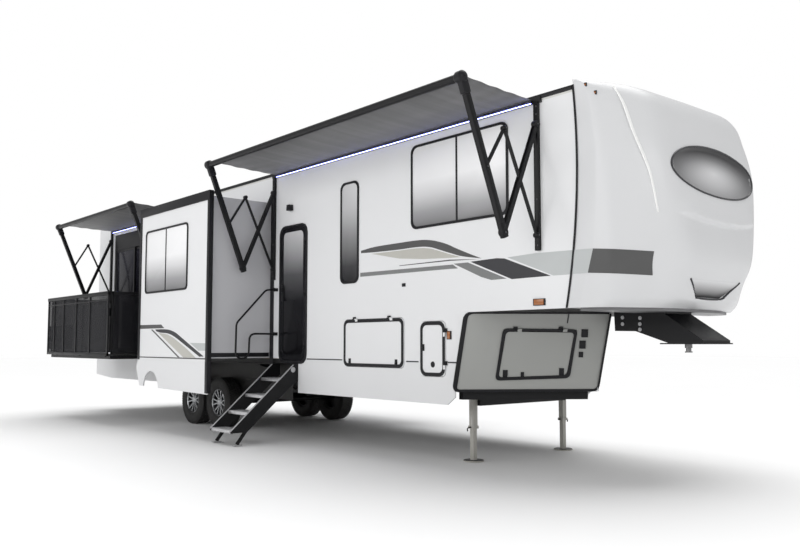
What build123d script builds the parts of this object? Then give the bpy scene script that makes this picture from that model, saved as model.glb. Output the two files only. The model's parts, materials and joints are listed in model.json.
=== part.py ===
from build123d import *
import math
import os

# Fifth wheel travel trailer, parked on its landing legs with everything folded out.
# Millimetres. X is 0 at the king pin and grows towards the nose, +Y is the road side, the doors are on
# the curb side at -Y. Everything is modelled with Z = 0 on the ground, and save() moves it down so that
# the origin is in the middle of the king pin's lower flange.

# Hitch
PIN_NECK_R = 25.4
PIN_FLANGE_R = 35.7
PIN_FLANGE = 12.0
PIN_COLLAR = 37.0
PIN_NECK = 33.0
PIN_BOTTOM = 1217.0
PIN_HEIGHT = PIN_BOTTOM + PIN_FLANGE / 2
COUPLER_PLATE = 12.0
COUPLER_BOTTOM = PIN_BOTTOM + PIN_FLANGE + PIN_NECK + PIN_COLLAR

# Body shell
HALF = 1220.0
WALL = 50.0
REAR = -12520.0
FLOOR_TOP = 1102.0
FLOOR = 72.0
DECK_BOTTOM = 1640.0
DECK = 80.0
ROOF_FRONT = 3755.0
ROOF_REAR = 3745.0
ROOF = 60.0
JOINT_X = -434.0
JOINT_LOW_X = -525.0
JOINT_MID_X = -378.0
JOINT_MID_Z = 2990.0
INNER = HALF - WALL
GAP = 5.0
SEAT = 0.3

# Raised front part and its storage tub
RAISED_REAR = -4200.0
STEP_WALL = 30.0
TUB_WALL = 30.0
TUB_REAR_TOP = -1856.0
TUB_REAR_LOW = -2046.0
TUB_BOW = 940.0
TUB_BOTTOM = 790.0
TUB_FRAME = 60.0

# Skirts
SKIRT = 20.0
FLOOR_EDGE = HALF - 35.0
SKIRT_BOTTOM = 644.0
SKIRT_REAR_BOTTOM = 700.0

# Frame under the floor
TYRE_W = 235.0
TRACK_OUT = 1190.0
RAIL_Y = TRACK_OUT - TYRE_W - 105.0
RAIL_W = 70.0
RAIL_H = 254.0
RAIL_WEB = 12.0
RAIL_FLANGE = 14.0
RAIL_TOP = FLOOR_TOP - FLOOR
CROSS_W = 50.0
CROSS_H = 120.0
CROSS_PITCH = 1000.0
PAN = 6.0

# Wheels and axles
TYRE_R = 389.0
RIM_R = 215.0
AXLE_FRONT_X = -7430.0
AXLE_REAR_X = -8300.0
AXLE_R = 38.0
HUB_R = 60.0
WHEEL_SIDES = 36
SPRING_Y = RAIL_Y
SPRING_W = 45.0

# Curb side slide-out
SLIDE_REAR = -8090.0
SLIDE_FRONT = -5800.0
SLIDE_OUT = 990.0
SLIDE_TOP = 3390.0
SLIDE_BOTTOM = 1070.0
SLIDE_FACE = 50.0
SLIDE_WALL = 40.0
SLIDE_LAP = 45.0
RUNNER = 60.0
SLIDE_SKIRT_BOTTOM = 625.0
# Road side slide-out, the same section but longer
ROAD_SLIDE_REAR = -9300.0
ROAD_SLIDE_FRONT = -5700.0

# Landing legs
LEG_X = -2206.0
LEG_OUTER = 66.0
LEG_Y = RAIL_Y - (RAIL_W + LEG_OUTER) / 2
LEG_INNER = 54.0
LEG_FOOT_R = 115.0
LEG_FOOT = 12.0
LEG_OUTER_BOTTOM = 375.0

# Patio deck at the rear of the curb side
PATIO_REAR = -11650.0
PATIO_FRONT = -8690.0
PATIO_HINGE_Y = -(HALF + 35.0)
PATIO_HINGE_Z = 1120.0
PATIO_REACH = 1170.0
PATIO_T = 50.0
PATIO_TOP = PATIO_HINGE_Z - 10.0
RAIL_TUBE = 30.0
RAIL_OUT = 25.0
RAIL_BASE = PATIO_HINGE_Z - 8.0
RAIL_HEIGHT = 1035.0

DECK_SET = 15.0
LUG = 90.0
PIN_R = 8.0

CORNER_CHORDS = 3

solids = {}


def save(name, shape):
    """Keep a node's shape under its name, still in the ground frame."""
    solids[name] = shape


def block(x0, x1, y0, y1, z0, z1):
    """Box between two corners."""
    size = (x1 - x0, y1 - y0, z1 - z0)
    middle = ((x0 + x1) / 2, (y0 + y1) / 2, (z0 + z1) / 2)
    return Pos(*middle) * Box(*size)


def side_plate(points, y0, y1):
    """Flat piece with an outline of (x, z) points, from y0 to y1."""
    face = make_face(Polyline(*[(x, 0, z) for x, z in points], close=True))
    return Pos(0, y0, 0) * extrude(face, amount=y1 - y0, dir=(0, 1, 0))


def cross_plate(points, x0, x1):
    """Flat piece with an outline of (y, z) points, from x0 to x1."""
    face = make_face(Polyline(*[(0, y, z) for y, z in points], close=True))
    return Pos(x0, 0, 0) * extrude(face, amount=x1 - x0, dir=(1, 0, 0))


def rod(start, end, radius):
    """Round bar between two points."""
    start = Vector(*start)
    end = Vector(*end)
    run = end - start
    return Plane(origin=start, z_dir=run) * Cylinder(
        radius, run.length, align=(Align.CENTER, Align.CENTER, Align.MIN))


def bar(start, end, width, depth):
    """Flat bar between two points of one plane of constant X, width along X and depth across it."""
    start = Vector(*start)
    end = Vector(*end)
    run = end - start
    return Plane(origin=start, x_dir=(1, 0, 0), z_dir=run) * Box(
        width, depth, run.length, align=(Align.CENTER, Align.CENTER, Align.MIN))


def many_sided(start, end, radius, sides):
    """Bar of many flat sides between two points."""
    start = Vector(*start)
    end = Vector(*end)
    run = end - start
    return Plane(origin=start, z_dir=run) * extrude(RegularPolygon(radius, sides), run.length)


def rounded(x0, x1, z0, z1, radius, y0, y1):
    """Panel in the side view whose corners are rounded in a few chords."""
    outline = []
    for middle_x, middle_z, start in ((x1 - radius, z0 + radius, -90), (x1 - radius, z1 - radius, 0),
                                      (x0 + radius, z1 - radius, 90), (x0 + radius, z0 + radius, 180)):
        for angle in spaced(start, start + 90, CORNER_CHORDS + 1):
            turn = math.radians(angle)
            outline.append((middle_x + radius * math.cos(turn), middle_z + radius * math.sin(turn)))
    return side_plate(outline, y0, y1)


def window_frame(x0, x1, z0, z1, radius, y0, y1, rim, mullion=0.0):
    """Ring round a window, with a bar down its middle where it has one."""
    ring = rounded(x0, x1, z0, z1, radius, y0, y1)
    ring -= rounded(x0 + rim, x1 - rim, z0 + rim, z1 - rim, radius - rim / 2, y0 - 1, y1 + 1)
    if mullion:
        middle = (x0 + x1) / 2
        ring += block(middle - mullion / 2, middle + mullion / 2, y0, y1, z0 + rim, z1 - rim)
    return ring


def spaced(first, last, count):
    """Evenly spaced places from the first to the last."""
    return [first + (last - first) * number / (count - 1) for number in range(count)]


def together(pieces):
    """One node of several pieces, joined where they touch."""
    return Part() + pieces


def roof_line(x):
    """Height of the roof's outer edge at x."""
    share = (x - REAR) / (JOINT_X - REAR)
    return ROOF_REAR + share * (ROOF_FRONT - ROOF_REAR)


def tub_rear(z):
    """X of the tub's slanted rear edge at a height."""
    share = (z - TUB_BOTTOM) / (DECK_BOTTOM - TUB_BOTTOM)
    return TUB_REAR_LOW + share * (TUB_REAR_TOP - TUB_REAR_LOW)


# Openings in the side walls. Columns: rear x, front x, bottom z, top z, corner radius
ENTRY = (-5582.0, -4894.0, 1035.0, 2950.0, 130.0)
NARROW_WINDOW = (-4135.0, -3753.0, 2060.0, 3356.0, 90.0)
FRONT_WINDOW = (-2754.0, -1245.0, 2614.0, 3590.0, 90.0)
SLIDE_WINDOW = (-7880.0, -6440.0, 2070.0, 3035.0, 70.0)
PATIO_DOOR = (-11650.0, -9900.0, 1134.0, 3180.0)
MIDDLE_HATCH = (-4056.0, -2880.0, 1019.0, 1610.0, 60.0)
SERVICE_HATCH = (-2601.0, -2184.0, 940.0, 1557.0, 60.0)
ROAD_WINDOWS = (
    (-2754.0, -1245.0, 2614.0, 3590.0, 90.0),
    (-11400.0, -10000.0, 1900.0, 2900.0, 90.0),
)
ROAD_SLIDE_WINDOW = (-8400.0, -6800.0, 2100.0, 2800.0, 70.0)
REAR_WINDOW = (-500.0, 500.0, 2200.0, 2900.0, 70.0)
ENTRY_RIM = 35.0
FRAME_PROUD = 12.0
BOW_HINGES = (660.0, 1150.0)
BOW_HINGE_V = 680.0
# The luggage door in the bow panel: columns along the panel and up it, from its low outer corner
STORAGE_HATCH = (
    (441.0, 135.0),
    (1232.0, 160.0),
    (1304.0, 672.0),
    (515.0, 682.0),
)


def cut_opening(wall, opening, y0, y1):
    """Cut a rounded opening through a wall from y0 to y1."""
    return wall - rounded(*opening, y0, y1)


def joint_edge(y0, y1):
    """Everything ahead of the curved joint between the side walls and the front cap."""
    top = ROOF_FRONT + 200
    arc = ThreePointArc((JOINT_LOW_X, 0, DECK_BOTTOM), (JOINT_MID_X, 0, JOINT_MID_Z), (JOINT_X, 0, top))
    ahead = 2000.0
    rest = Polyline((JOINT_X, 0, top), (ahead, 0, top), (ahead, 0, DECK_BOTTOM - 100),
                    (JOINT_LOW_X, 0, DECK_BOTTOM - 100), (JOINT_LOW_X, 0, DECK_BOTTOM))
    face = make_face([arc, rest])
    return Pos(0, y0, 0) * extrude(face, amount=y1 - y0, dir=(0, 1, 0))


def wall_blank(y0, y1):
    """Side wall before its openings: the lower part, the raised part and the curved front edge."""
    points = [
        (REAR, FLOOR_TOP),
        (tub_rear(FLOOR_TOP), FLOOR_TOP),
        (TUB_REAR_TOP, DECK_BOTTOM),
        (JOINT_MID_X, DECK_BOTTOM),
        (JOINT_MID_X, roof_line(JOINT_MID_X) - ROOF),
        (REAR, roof_line(REAR) - ROOF),
    ]
    return side_plate(points, y0, y1) - joint_edge(y0 - 1, y1 + 1)


def slide_hole(rear, front):
    """Columns of the wall opening that a slide-out's box passes through, down to the floor."""
    return (rear + SLIDE_LAP, front - SLIDE_LAP, FLOOR_TOP - 1, SLIDE_TOP - SLIDE_LAP)


def make_walls():
    """Both side walls, each cut for its doors, windows and slide-out, and the rear wall."""
    curb = wall_blank(-HALF, -INNER)
    for opening in (ENTRY, NARROW_WINDOW, FRONT_WINDOW, MIDDLE_HATCH, SERVICE_HATCH):
        curb = cut_opening(curb, opening, -HALF - 1, -INNER + 1)
    x0, x1, z0, z1 = PATIO_DOOR
    curb -= block(x0, x1, -HALF - 1, -INNER + 1, z0, z1)
    x0, x1, z0, z1 = slide_hole(SLIDE_REAR, SLIDE_FRONT)
    curb -= block(x0, x1, -HALF - 1, -INNER + 1, z0, z1)
    save("wall_curb", curb)
    road = wall_blank(INNER, HALF)
    for opening in ROAD_WINDOWS:
        road = cut_opening(road, opening, INNER - 1, HALF + 1)
    x0, x1, z0, z1 = slide_hole(ROAD_SLIDE_REAR, ROAD_SLIDE_FRONT)
    road -= block(x0, x1, INNER - 1, HALF + 1, z0, z1)
    save("wall_road", road)
    rear = block(REAR, REAR + WALL, -INNER, INNER, FLOOR_TOP, roof_line(REAR) - ROOF)
    y0, y1, z0, z1, radius = REAR_WINDOW
    rear -= block(REAR - 1, REAR + WALL + 1, y0, y1, z0, z1)
    save("wall_rear", rear)


def make_roof():
    """Roof panel on top of the walls."""
    points = [
        (REAR, roof_line(REAR) - ROOF),
        (JOINT_MID_X, roof_line(JOINT_MID_X) - ROOF),
        (JOINT_MID_X, roof_line(JOINT_MID_X)),
        (REAR, roof_line(REAR)),
    ]
    save("roof", side_plate(points, -HALF, HALF) - joint_edge(-HALF - 1, HALF + 1))


# Front cap. Columns: height, reach of the nose on the centre line from the king pin, fullness of its corners
# and the crease that ends its flat sides
CAP_WALL = 40.0
CAP_SECTIONS = (
    (1640.0, 100.0, 0.0, -392.0),
    (1720.0, 230.0, 0.0, -361.0),
    (1900.0, 320.0, 0.0, -305.0),
    (2200.0, 410.0, 0.25, -209.0),
    (2950.0, 350.0, 1.0, -151.0),
    (3400.0, 240.0, 1.0, -198.0),
    (3600.0, 150.0, 1.0, -235.0),
    (3740.0, -20.0, 1.0, -290.0),
    (3820.0, -324.0, 1.0, -400.0),
)
CAP_BACK = -700.0


def cap_plan(depth, width, fullness):
    """Points of the cap's plan on one side: where its side, its rounded corner and its nose meet."""
    shares = ((0, 1), (0.50, 0.93 + 0.02 * fullness), (0.78, 0.66 + 0.14 * fullness), (0.955, 0.45 + 0.17 * fullness))
    return [(JOINT_X + depth * along, width * across) for along, across in shares]


def cap_section(level, reach, fullness, crease):
    """Plan of the cap at a height: flat sides up to the crease, turned corners and a crowned nose."""
    _, side, corner, shoulder = cap_plan(reach - JOINT_X, HALF, fullness)
    crown = (reach - (reach - shoulder[0]) / 4, shoulder[1] / 2)
    half = [(CAP_BACK, HALF), (crease, HALF), side, corner, shoulder, crown]
    outline = [(x, -y, level) for x, y in half] + [(reach, 0, level)] + [(x, y, level) for x, y in reversed(half)]
    return make_face(Polyline(*outline, close=True))


def cap_hollow():
    """Inside of the cap, of flat panels a wall's thickness in from its outside."""
    sections = []
    lowest = CAP_SECTIONS[0][0]
    highest = CAP_SECTIONS[-1][0]
    for z, reach, fullness, _ in CAP_SECTIONS[::2]:
        level = min(max(z, lowest + CAP_WALL), highest - CAP_WALL)
        near = cap_plan(reach - CAP_WALL - JOINT_X, HALF - CAP_WALL, fullness)
        outline = [(x, -y, level) for x, y in near] + [(x, y, level) for x, y in reversed(near)]
        back = [(CAP_BACK, HALF - CAP_WALL, level), (CAP_BACK, CAP_WALL - HALF, level)]
        sections.append(make_face(Polyline(*outline, *back, close=True)))
    return loft(sections, ruled=True)


def make_cap():
    """Hollow moulded front cap that closes the front of the raised part."""
    sections = [cap_section(*section) for section in CAP_SECTIONS]
    shell = loft(sections, ruled=True) - cap_hollow()
    save("front_cap", shell & joint_edge(-HALF - 10, HALF + 10))


def make_floors():
    """Lower floor, raised front floor with the step wall under its rear edge."""
    front = tub_rear(RAIL_TOP)
    save("floor_lower", block(REAR, front, -FLOOR_EDGE, FLOOR_EDGE, RAIL_TOP, FLOOR_TOP))
    deck = block(RAISED_REAR, JOINT_LOW_X, -INNER, INNER, DECK_BOTTOM, DECK_BOTTOM + DECK)
    deck += block(RAISED_REAR, RAISED_REAR + STEP_WALL, -INNER, INNER, FLOOR_TOP, DECK_BOTTOM)
    save("floor_upper", deck)


def bow_plane():
    """Plane of the tub's curb side bow panel: along it, up it, and outwards."""
    along = Vector(TUB_BOW, HALF, 0)
    up = Vector(TUB_REAR_TOP - TUB_REAR_LOW, 0, DECK_BOTTOM - TUB_BOTTOM)
    return Plane(origin=(TUB_REAR_LOW, -HALF, TUB_BOTTOM), x_dir=along, z_dir=along.cross(up))


def bow_piece(points, out, depth):
    """Flat piece of the bow panel with an outline in its plane, from a level outwards to a depth inwards."""
    face = make_face(Polyline(*points, close=True))
    return bow_plane() * Pos(0, 0, out) * extrude(face, amount=-depth)


def make_tub():
    """V-shaped storage tub under the raised floor: two bow panels that meet on the centre line and a floor."""
    plane = bow_plane()
    corners = [
        (TUB_REAR_LOW, -HALF, TUB_BOTTOM),
        (TUB_REAR_LOW + TUB_BOW, 0, TUB_BOTTOM),
        (TUB_REAR_TOP + TUB_BOW, 0, DECK_BOTTOM),
        (TUB_REAR_TOP, -HALF, DECK_BOTTOM),
    ]
    flat = [plane.to_local_coords(Vector(*corner)) for corner in corners]
    panel = bow_piece([(point.X, point.Y) for point in flat], 0, TUB_WALL)
    panel -= bow_piece(STORAGE_HATCH, 50, TUB_WALL + 100)
    triangle = make_face(Polyline(
        (TUB_REAR_LOW, -HALF, TUB_BOTTOM),
        (TUB_REAR_LOW + TUB_BOW, 0, TUB_BOTTOM),
        (TUB_REAR_LOW, HALF, TUB_BOTTOM), close=True))
    up = Vector(TUB_REAR_TOP - TUB_REAR_LOW, 0, DECK_BOTTOM - TUB_BOTTOM).normalized()
    tub = panel + mirror(panel, about=Plane.XZ) + extrude(triangle, amount=TUB_WALL, dir=up)
    tub += side_plate([
        (tub_rear(TUB_BOTTOM), TUB_BOTTOM),
        (tub_rear(TUB_BOTTOM) + TUB_WALL, TUB_BOTTOM),
        (tub_rear(RAIL_TOP) + TUB_WALL, RAIL_TOP),
        (tub_rear(RAIL_TOP), RAIL_TOP),
    ], -HALF + 2 * TUB_WALL, HALF - 2 * TUB_WALL)
    outline = side_plate([
        (TUB_REAR_LOW, TUB_BOTTOM),
        (TUB_REAR_LOW + 2 * TUB_BOW, TUB_BOTTOM),
        (TUB_REAR_LOW + 2 * TUB_BOW, DECK_BOTTOM),
        (TUB_REAR_TOP, DECK_BOTTOM),
    ], -HALF, HALF)
    save("storage_tub", tub & outline)


def make_skirts():
    """Lower side panels, cut for the wheels, the hatches, the steps and the curb slide-out."""
    wheel_mid = (AXLE_FRONT_X + AXLE_REAR_X) / 2
    arch_half = (AXLE_FRONT_X - AXLE_REAR_X) / 2 + TYRE_R + 80
    for side, name in ((-1, "skirt_curb"), (1, "skirt_road")):
        y0 = min(side * HALF, side * (HALF - SKIRT))
        y1 = y0 + SKIRT
        points = [
            (REAR, SKIRT_REAR_BOTTOM),
            (REAR + 800, SKIRT_BOTTOM),
            (tub_rear(TUB_BOTTOM) - 120, SKIRT_BOTTOM),
            (tub_rear(TUB_BOTTOM) - 2, TUB_BOTTOM - 60),
            (tub_rear(TUB_BOTTOM) - 2, TUB_BOTTOM),
            (tub_rear(FLOOR_TOP) - 2, FLOOR_TOP),
            (REAR, FLOOR_TOP),
        ]
        skirt = side_plate(points, y0, y1)
        skirt -= rounded(wheel_mid - arch_half, wheel_mid + arch_half, SKIRT_BOTTOM - 400, 900, 200, y0 - 1, y1 + 1)
        if side < 0:
            skirt -= block(SLIDE_REAR, SLIDE_FRONT, y0 - 1, y1 + 1, SKIRT_BOTTOM - 100, FLOOR_TOP + 1)
            skirt -= rounded(*MIDDLE_HATCH, y0 - 1, y1 + 1)
            skirt -= rounded(*SERVICE_HATCH, y0 - 1, y1 + 1)
            skirt -= block(SLIDE_FRONT - 1, STEP_FRONT + 12, y0 - 1, y1 + 1, SKIRT_BOTTOM - 1, FLOOR_TOP + 1)
            skirt -= rounded(*ENTRY, y0 - 1, y1 + 1)
        save(name, skirt)


def rail(side):
    """One main frame rail of I section."""
    y = side * RAIL_Y
    low = RAIL_TOP - RAIL_H
    front = tub_rear(low) - 40
    web = block(REAR + 60, front, y - RAIL_WEB / 2, y + RAIL_WEB / 2, low, RAIL_TOP)
    for z0 in (low, RAIL_TOP - RAIL_FLANGE):
        web += block(REAR + 60, front, y - RAIL_W / 2, y + RAIL_W / 2, z0, z0 + RAIL_FLANGE)
    return web


def make_frame():
    """Two main rails, cross members between them, outriggers to the skirts and the rear bumper."""
    frame = rail(-1) + rail(1)
    low = RAIL_TOP - CROSS_H
    count = int((tub_rear(RAIL_TOP) - REAR) / CROSS_PITCH)
    inside = RAIL_Y - RAIL_WEB / 2
    edge = FLOOR_EDGE - 10
    for number in range(count):
        x = REAR + 300 + number * CROSS_PITCH
        frame += block(x, x + CROSS_W, -inside, inside, low, RAIL_TOP)
        near_wheels = AXLE_REAR_X - 2 * TYRE_R < x < AXLE_FRONT_X + 2 * TYRE_R
        if not near_wheels:
            for side in (-1, 1):
                points = [
                    (side * inside, low),
                    (side * edge, RAIL_TOP - CROSS_H / 3),
                    (side * edge, RAIL_TOP),
                    (side * inside, RAIL_TOP),
                ]
                frame += cross_plate(points, x, x + CROSS_W)
    nose = TUB_REAR_LOW + TUB_BOW - 2 * TUB_FRAME
    for side in (-1, 1):
        beam = make_face(Polyline(
            (TUB_REAR_LOW - TUB_FRAME, side * (HALF - 2 * TUB_FRAME)),
            (TUB_REAR_LOW, side * (HALF - 2 * TUB_FRAME)),
            (nose, 0),
            (nose - 2 * TUB_FRAME, 0),
            (TUB_REAR_LOW - TUB_FRAME, side * (HALF - 4 * TUB_FRAME)), close=True))
        frame += Pos(0, 0, TUB_BOTTOM - 1.5 * TUB_FRAME) * extrude(beam, amount=1.5 * TUB_FRAME)
    wide = HALF - 2 * TUB_FRAME
    frame += block(TUB_REAR_LOW - TUB_FRAME, TUB_REAR_LOW, -wide, wide, TUB_BOTTOM - 1.5 * TUB_FRAME, TUB_BOTTOM)
    save("chassis_frame", frame)
    under = RAIL_TOP - RAIL_H
    side = HALF - 4 * SKIRT
    pan = block(AXLE_FRONT_X + 2 * TYRE_R, LEG_X - LEG_OUTER, -side, side, under - PAN, under)
    pan += block(REAR + 100, AXLE_REAR_X - 2 * TYRE_R, -side, side, under - PAN, under)
    save("belly_pan", pan)


def make_running_gear():
    """Two axle tubes with leaf springs, hangers and the equalisers between them."""
    inside = TRACK_OUT - TYRE_W
    gear = []
    for x in (AXLE_FRONT_X, AXLE_REAR_X):
        tube = many_sided((x, -inside - 20, TYRE_R), (x, inside + 20, TYRE_R), AXLE_R, 16)
        spindle = TRACK_OUT - TYRE_W / 2 + TYRE_W * 0.4 - 110 - SEAT
        gear.append(tube + many_sided((x, -spindle, TYRE_R), (x, spindle, TYRE_R), AXLE_R - 10, 16))
    save("axles", together(gear))
    low = RAIL_TOP - RAIL_H
    springs = []
    for side in (-1, 1):
        y = side * SPRING_Y
        eye_front = AXLE_FRONT_X + 380
        eye_rear = AXLE_REAR_X - 380
        middle = (AXLE_FRONT_X + AXLE_REAR_X) / 2
        top = TYRE_R + AXLE_R
        unit = side_plate([(eye_front, low - 170), (AXLE_FRONT_X, top), (middle + 40, low - 170),
                           (middle + 40, low - 140), (AXLE_FRONT_X, top + 45), (eye_front, low - 140)],
                          y - SPRING_W / 2, y + SPRING_W / 2)
        unit += side_plate([(eye_rear, low - 170), (AXLE_REAR_X, top), (middle - 40, low - 170),
                            (middle - 40, low - 140), (AXLE_REAR_X, top + 45), (eye_rear, low - 140)],
                           y - SPRING_W / 2, y + SPRING_W / 2)
        for x in (eye_front, middle, eye_rear):
            unit += block(x - 45, x + 45, y - SPRING_W / 2, y + SPRING_W / 2, low - 190, low)
        springs.append(unit)
    save("suspension", together(springs))


# Columns: name, axle x, side
WHEELS = (
    ("curb_front", AXLE_FRONT_X, -1),
    ("curb_rear", AXLE_REAR_X, -1),
    ("road_front", AXLE_FRONT_X, 1),
    ("road_rear", AXLE_REAR_X, 1),
)


def wheel_disc(radius, y):
    """Many-sided disc square to the axle at a place along it, with a corner at its lowest point."""
    return Plane(origin=(0, y, 0), x_dir=(1, 0, 0), z_dir=(0, 1, 0)) * RegularPolygon(radius, WHEEL_SIDES)


def make_wheels():
    """Each wheel is a tyre with a bevelled outer shoulder round a spoked rim with its hub."""
    crown = 32.0
    bead = RIM_R - 8
    half = TYRE_W / 2
    for name, x, side in WHEELS:
        middle = side * (TRACK_OUT - half)
        outside = side * half
        outward = (0, side, 0)
        tyre = extrude(wheel_disc(TYRE_R, -outside), amount=TYRE_W - crown, dir=outward)
        tyre += loft([wheel_disc(TYRE_R, outside - side * crown), wheel_disc(TYRE_R - crown, outside)], ruled=True)
        tyre -= extrude(wheel_disc(bead, -outside - side), amount=TYRE_W + 2, dir=outward)
        place = Pos(x, middle, TYRE_R)
        save("tyre_" + name, place * tyre)
        outer = TYRE_W * 0.4
        well = RegularPolygon(bead - SEAT, WHEEL_SIDES) - RegularPolygon(bead - 12, WHEEL_SIDES)
        barrel = Pos(0, 0, -outer) * extrude(well, amount=2 * outer)
        barrel += Pos(0, 0, outer - 60) * Cylinder(HUB_R, 100)
        for number in range(6):
            spoke = Pos((bead + HUB_R) / 2 - 5, 0, outer - 35) * Box(bead - HUB_R, 60, 26)
            barrel += Rot(0, 0, number * 60) * spoke
        save("rim_" + name, place * Rot(-90 * side, 0, 0) * barrel)


# Entry steps: sill, ends along the trailer, nose of the lowest tread, and each tread's rise, run and depth
STEP_SILL = 1030.0
STEP_REAR = -5679.0
STEP_FRONT = -5109.0
STEP_REACH = 2125.0
STEP_PLATE = 25.0
STEP_NOSE = 2210.0
STEP_LOW = 200.0
TREAD_RISE = 212.0
TREAD_RUN = 248.0
TREAD_DEPTH = 215.0
TREADS = 4


def make_steps():
    """Entry steps: two stringer plates, four treads and two feet, standing on the ground."""
    back = -(HALF - 60)
    low = STEP_LOW - 35
    steps = None
    for x in (STEP_REAR, STEP_FRONT - STEP_PLATE):
        points = [
            (back, STEP_SILL),
            (back - 110, STEP_SILL),
            (-STEP_NOSE - 12, low + 20),
            (-STEP_NOSE - 4, low),
            (-STEP_NOSE + 220, low),
            (back, low + (STEP_NOSE - 220 + back) * TREAD_RISE / TREAD_RUN),
        ]
        plate = cross_plate(points, x, x + STEP_PLATE)
        middle = x + STEP_PLATE / 2
        plate += bar((middle, -STEP_REACH + 135, low + 30), (middle, -STEP_REACH, 20), STEP_PLATE, 40)
        plate += block(x - 20, x + STEP_PLATE + 20, -STEP_REACH - 45, -STEP_REACH + 45, 0, 12)
        steps = plate if steps is None else steps + plate
    for number in range(TREADS):
        nose = -STEP_NOSE + number * TREAD_RUN
        z = STEP_LOW + number * TREAD_RISE
        steps += block(STEP_REAR + 1, STEP_FRONT - 1, nose, nose + TREAD_DEPTH, z - 25, z)
        steps += block(STEP_REAR + 1, STEP_FRONT - 1, nose, nose + 20, z - 40, z)
    save("entry_steps", steps)


# Doors that swing: leaf thickness and how far its outer face stands out of the wall
LEAF = 35.0
LEAF_PROUD = 8.0
DOOR_GAP = 6.0


# Barrel hinges: barrel radius, length, plate width, and how far the axis stands out of the wall
BARREL_R = 7.0
HINGE_LENGTH = 90.0
HINGE_PLATE = 28.0
HINGE_OUT = 20.0


def hinge_at(node, place, depth):
    """Add the moving half of a hinge to a node and give back its fixed half.

    The place has Z along the hinge, Y outwards and X towards the fixed side, where the wall
    lies at a depth below the axis.
    """
    half = HINGE_LENGTH / 2
    fixed = Pos(0, 0, -half - SEAT) * extrude(RegularPolygon(BARREL_R, 12), half)
    fixed += Pos(HINGE_PLATE / 2, -(depth + 3) / 2, -half / 2 - SEAT) * Box(HINGE_PLATE, depth - 3, half)
    moving = Pos(0, 0, half / 2) * Cylinder(BARREL_R, half)
    reach = HINGE_OUT - LEAF_PROUD
    moving += Pos(-HINGE_PLATE / 2, -(reach + 3) / 2, half / 2) * Box(HINGE_PLATE, reach - 3, half)
    solids[node] += place * moving
    return place * fixed


def leaf(opening, side, inset=DOOR_GAP):
    """Door leaf that fills a rounded opening with a running gap."""
    x0, x1, z0, z1, radius = opening
    face = HALF + LEAF_PROUD
    y0, y1 = sorted((side * face, side * (face - LEAF)))
    return rounded(x0 + inset, x1 - inset, z0 + inset, z1 - inset, radius - inset, y0, y1)


def make_entry():
    """Entry door: black frame in the wall, leaf with a tall window and its glass."""
    x0, x1, z0, z1, radius = ENTRY
    rim = ENTRY_RIM
    frame = window_frame(x0, x1, z0, z1, radius, -HALF - FRAME_PROUD, -FLOOR_EDGE, rim)
    inner = (x0 + rim, x1 - rim, z0 + rim, z1 - rim, radius - rim / 2)
    door = leaf(inner, -1)
    glass = (inner[0] + 60, inner[1] - 60, inner[2] + 90, inner[3] - 60, 70.0)
    door -= rounded(*glass, -HALF - 100, -INNER + 100)
    save("entry_door", door)
    pane = rounded(glass[0], glass[1], glass[2], glass[3], glass[4], -HALF - 2, -HALF + 6)
    save("entry_glass", pane)
    return frame


def make_windows(entry_frame):
    """Frames and panes of the windows that stay with the body, with the entry door's frame."""
    frames = [entry_frame]
    panes = []
    rim = 28.0
    for opening, mullion, side in (
        (NARROW_WINDOW, 0.0, -1),
        (FRONT_WINDOW, 24.0, -1),
        (ROAD_WINDOWS[0], 24.0, 1),
        (ROAD_WINDOWS[1], 24.0, 1),
    ):
        y0, y1 = sorted((side * (HALF + 10), side * INNER))
        frames.append(window_frame(*opening, y0, y1, rim, mullion))
        x0, x1, z0, z1, radius = opening
        middle = (x0 + x1) / 2
        glass_y = sorted((side * (HALF - 2), side * (HALF + 4)))
        pane = rounded(x0 + rim, x1 - rim, z0 + rim, z1 - rim, radius - rim / 2, *glass_y)
        if mullion:
            pane -= block(middle - mullion / 2, middle + mullion / 2, glass_y[0] - 1, glass_y[1] + 1, z0, z1)
        panes.append(pane)
    y0, y1, z0, z1, radius = REAR_WINDOW
    ring = block(REAR - 10, REAR + WALL, y0, y1, z0, z1)
    ring -= block(REAR - 20, REAR + WALL + 10, y0 + rim, y1 - rim, z0 + rim, z1 - rim)
    frames.append(ring)
    panes.append(block(REAR - 4, REAR + 2, y0 + rim, y1 - rim, z0 + rim, z1 - rim))
    save("window_frames", together(frames))
    save("window_glass", together(panes))


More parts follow.
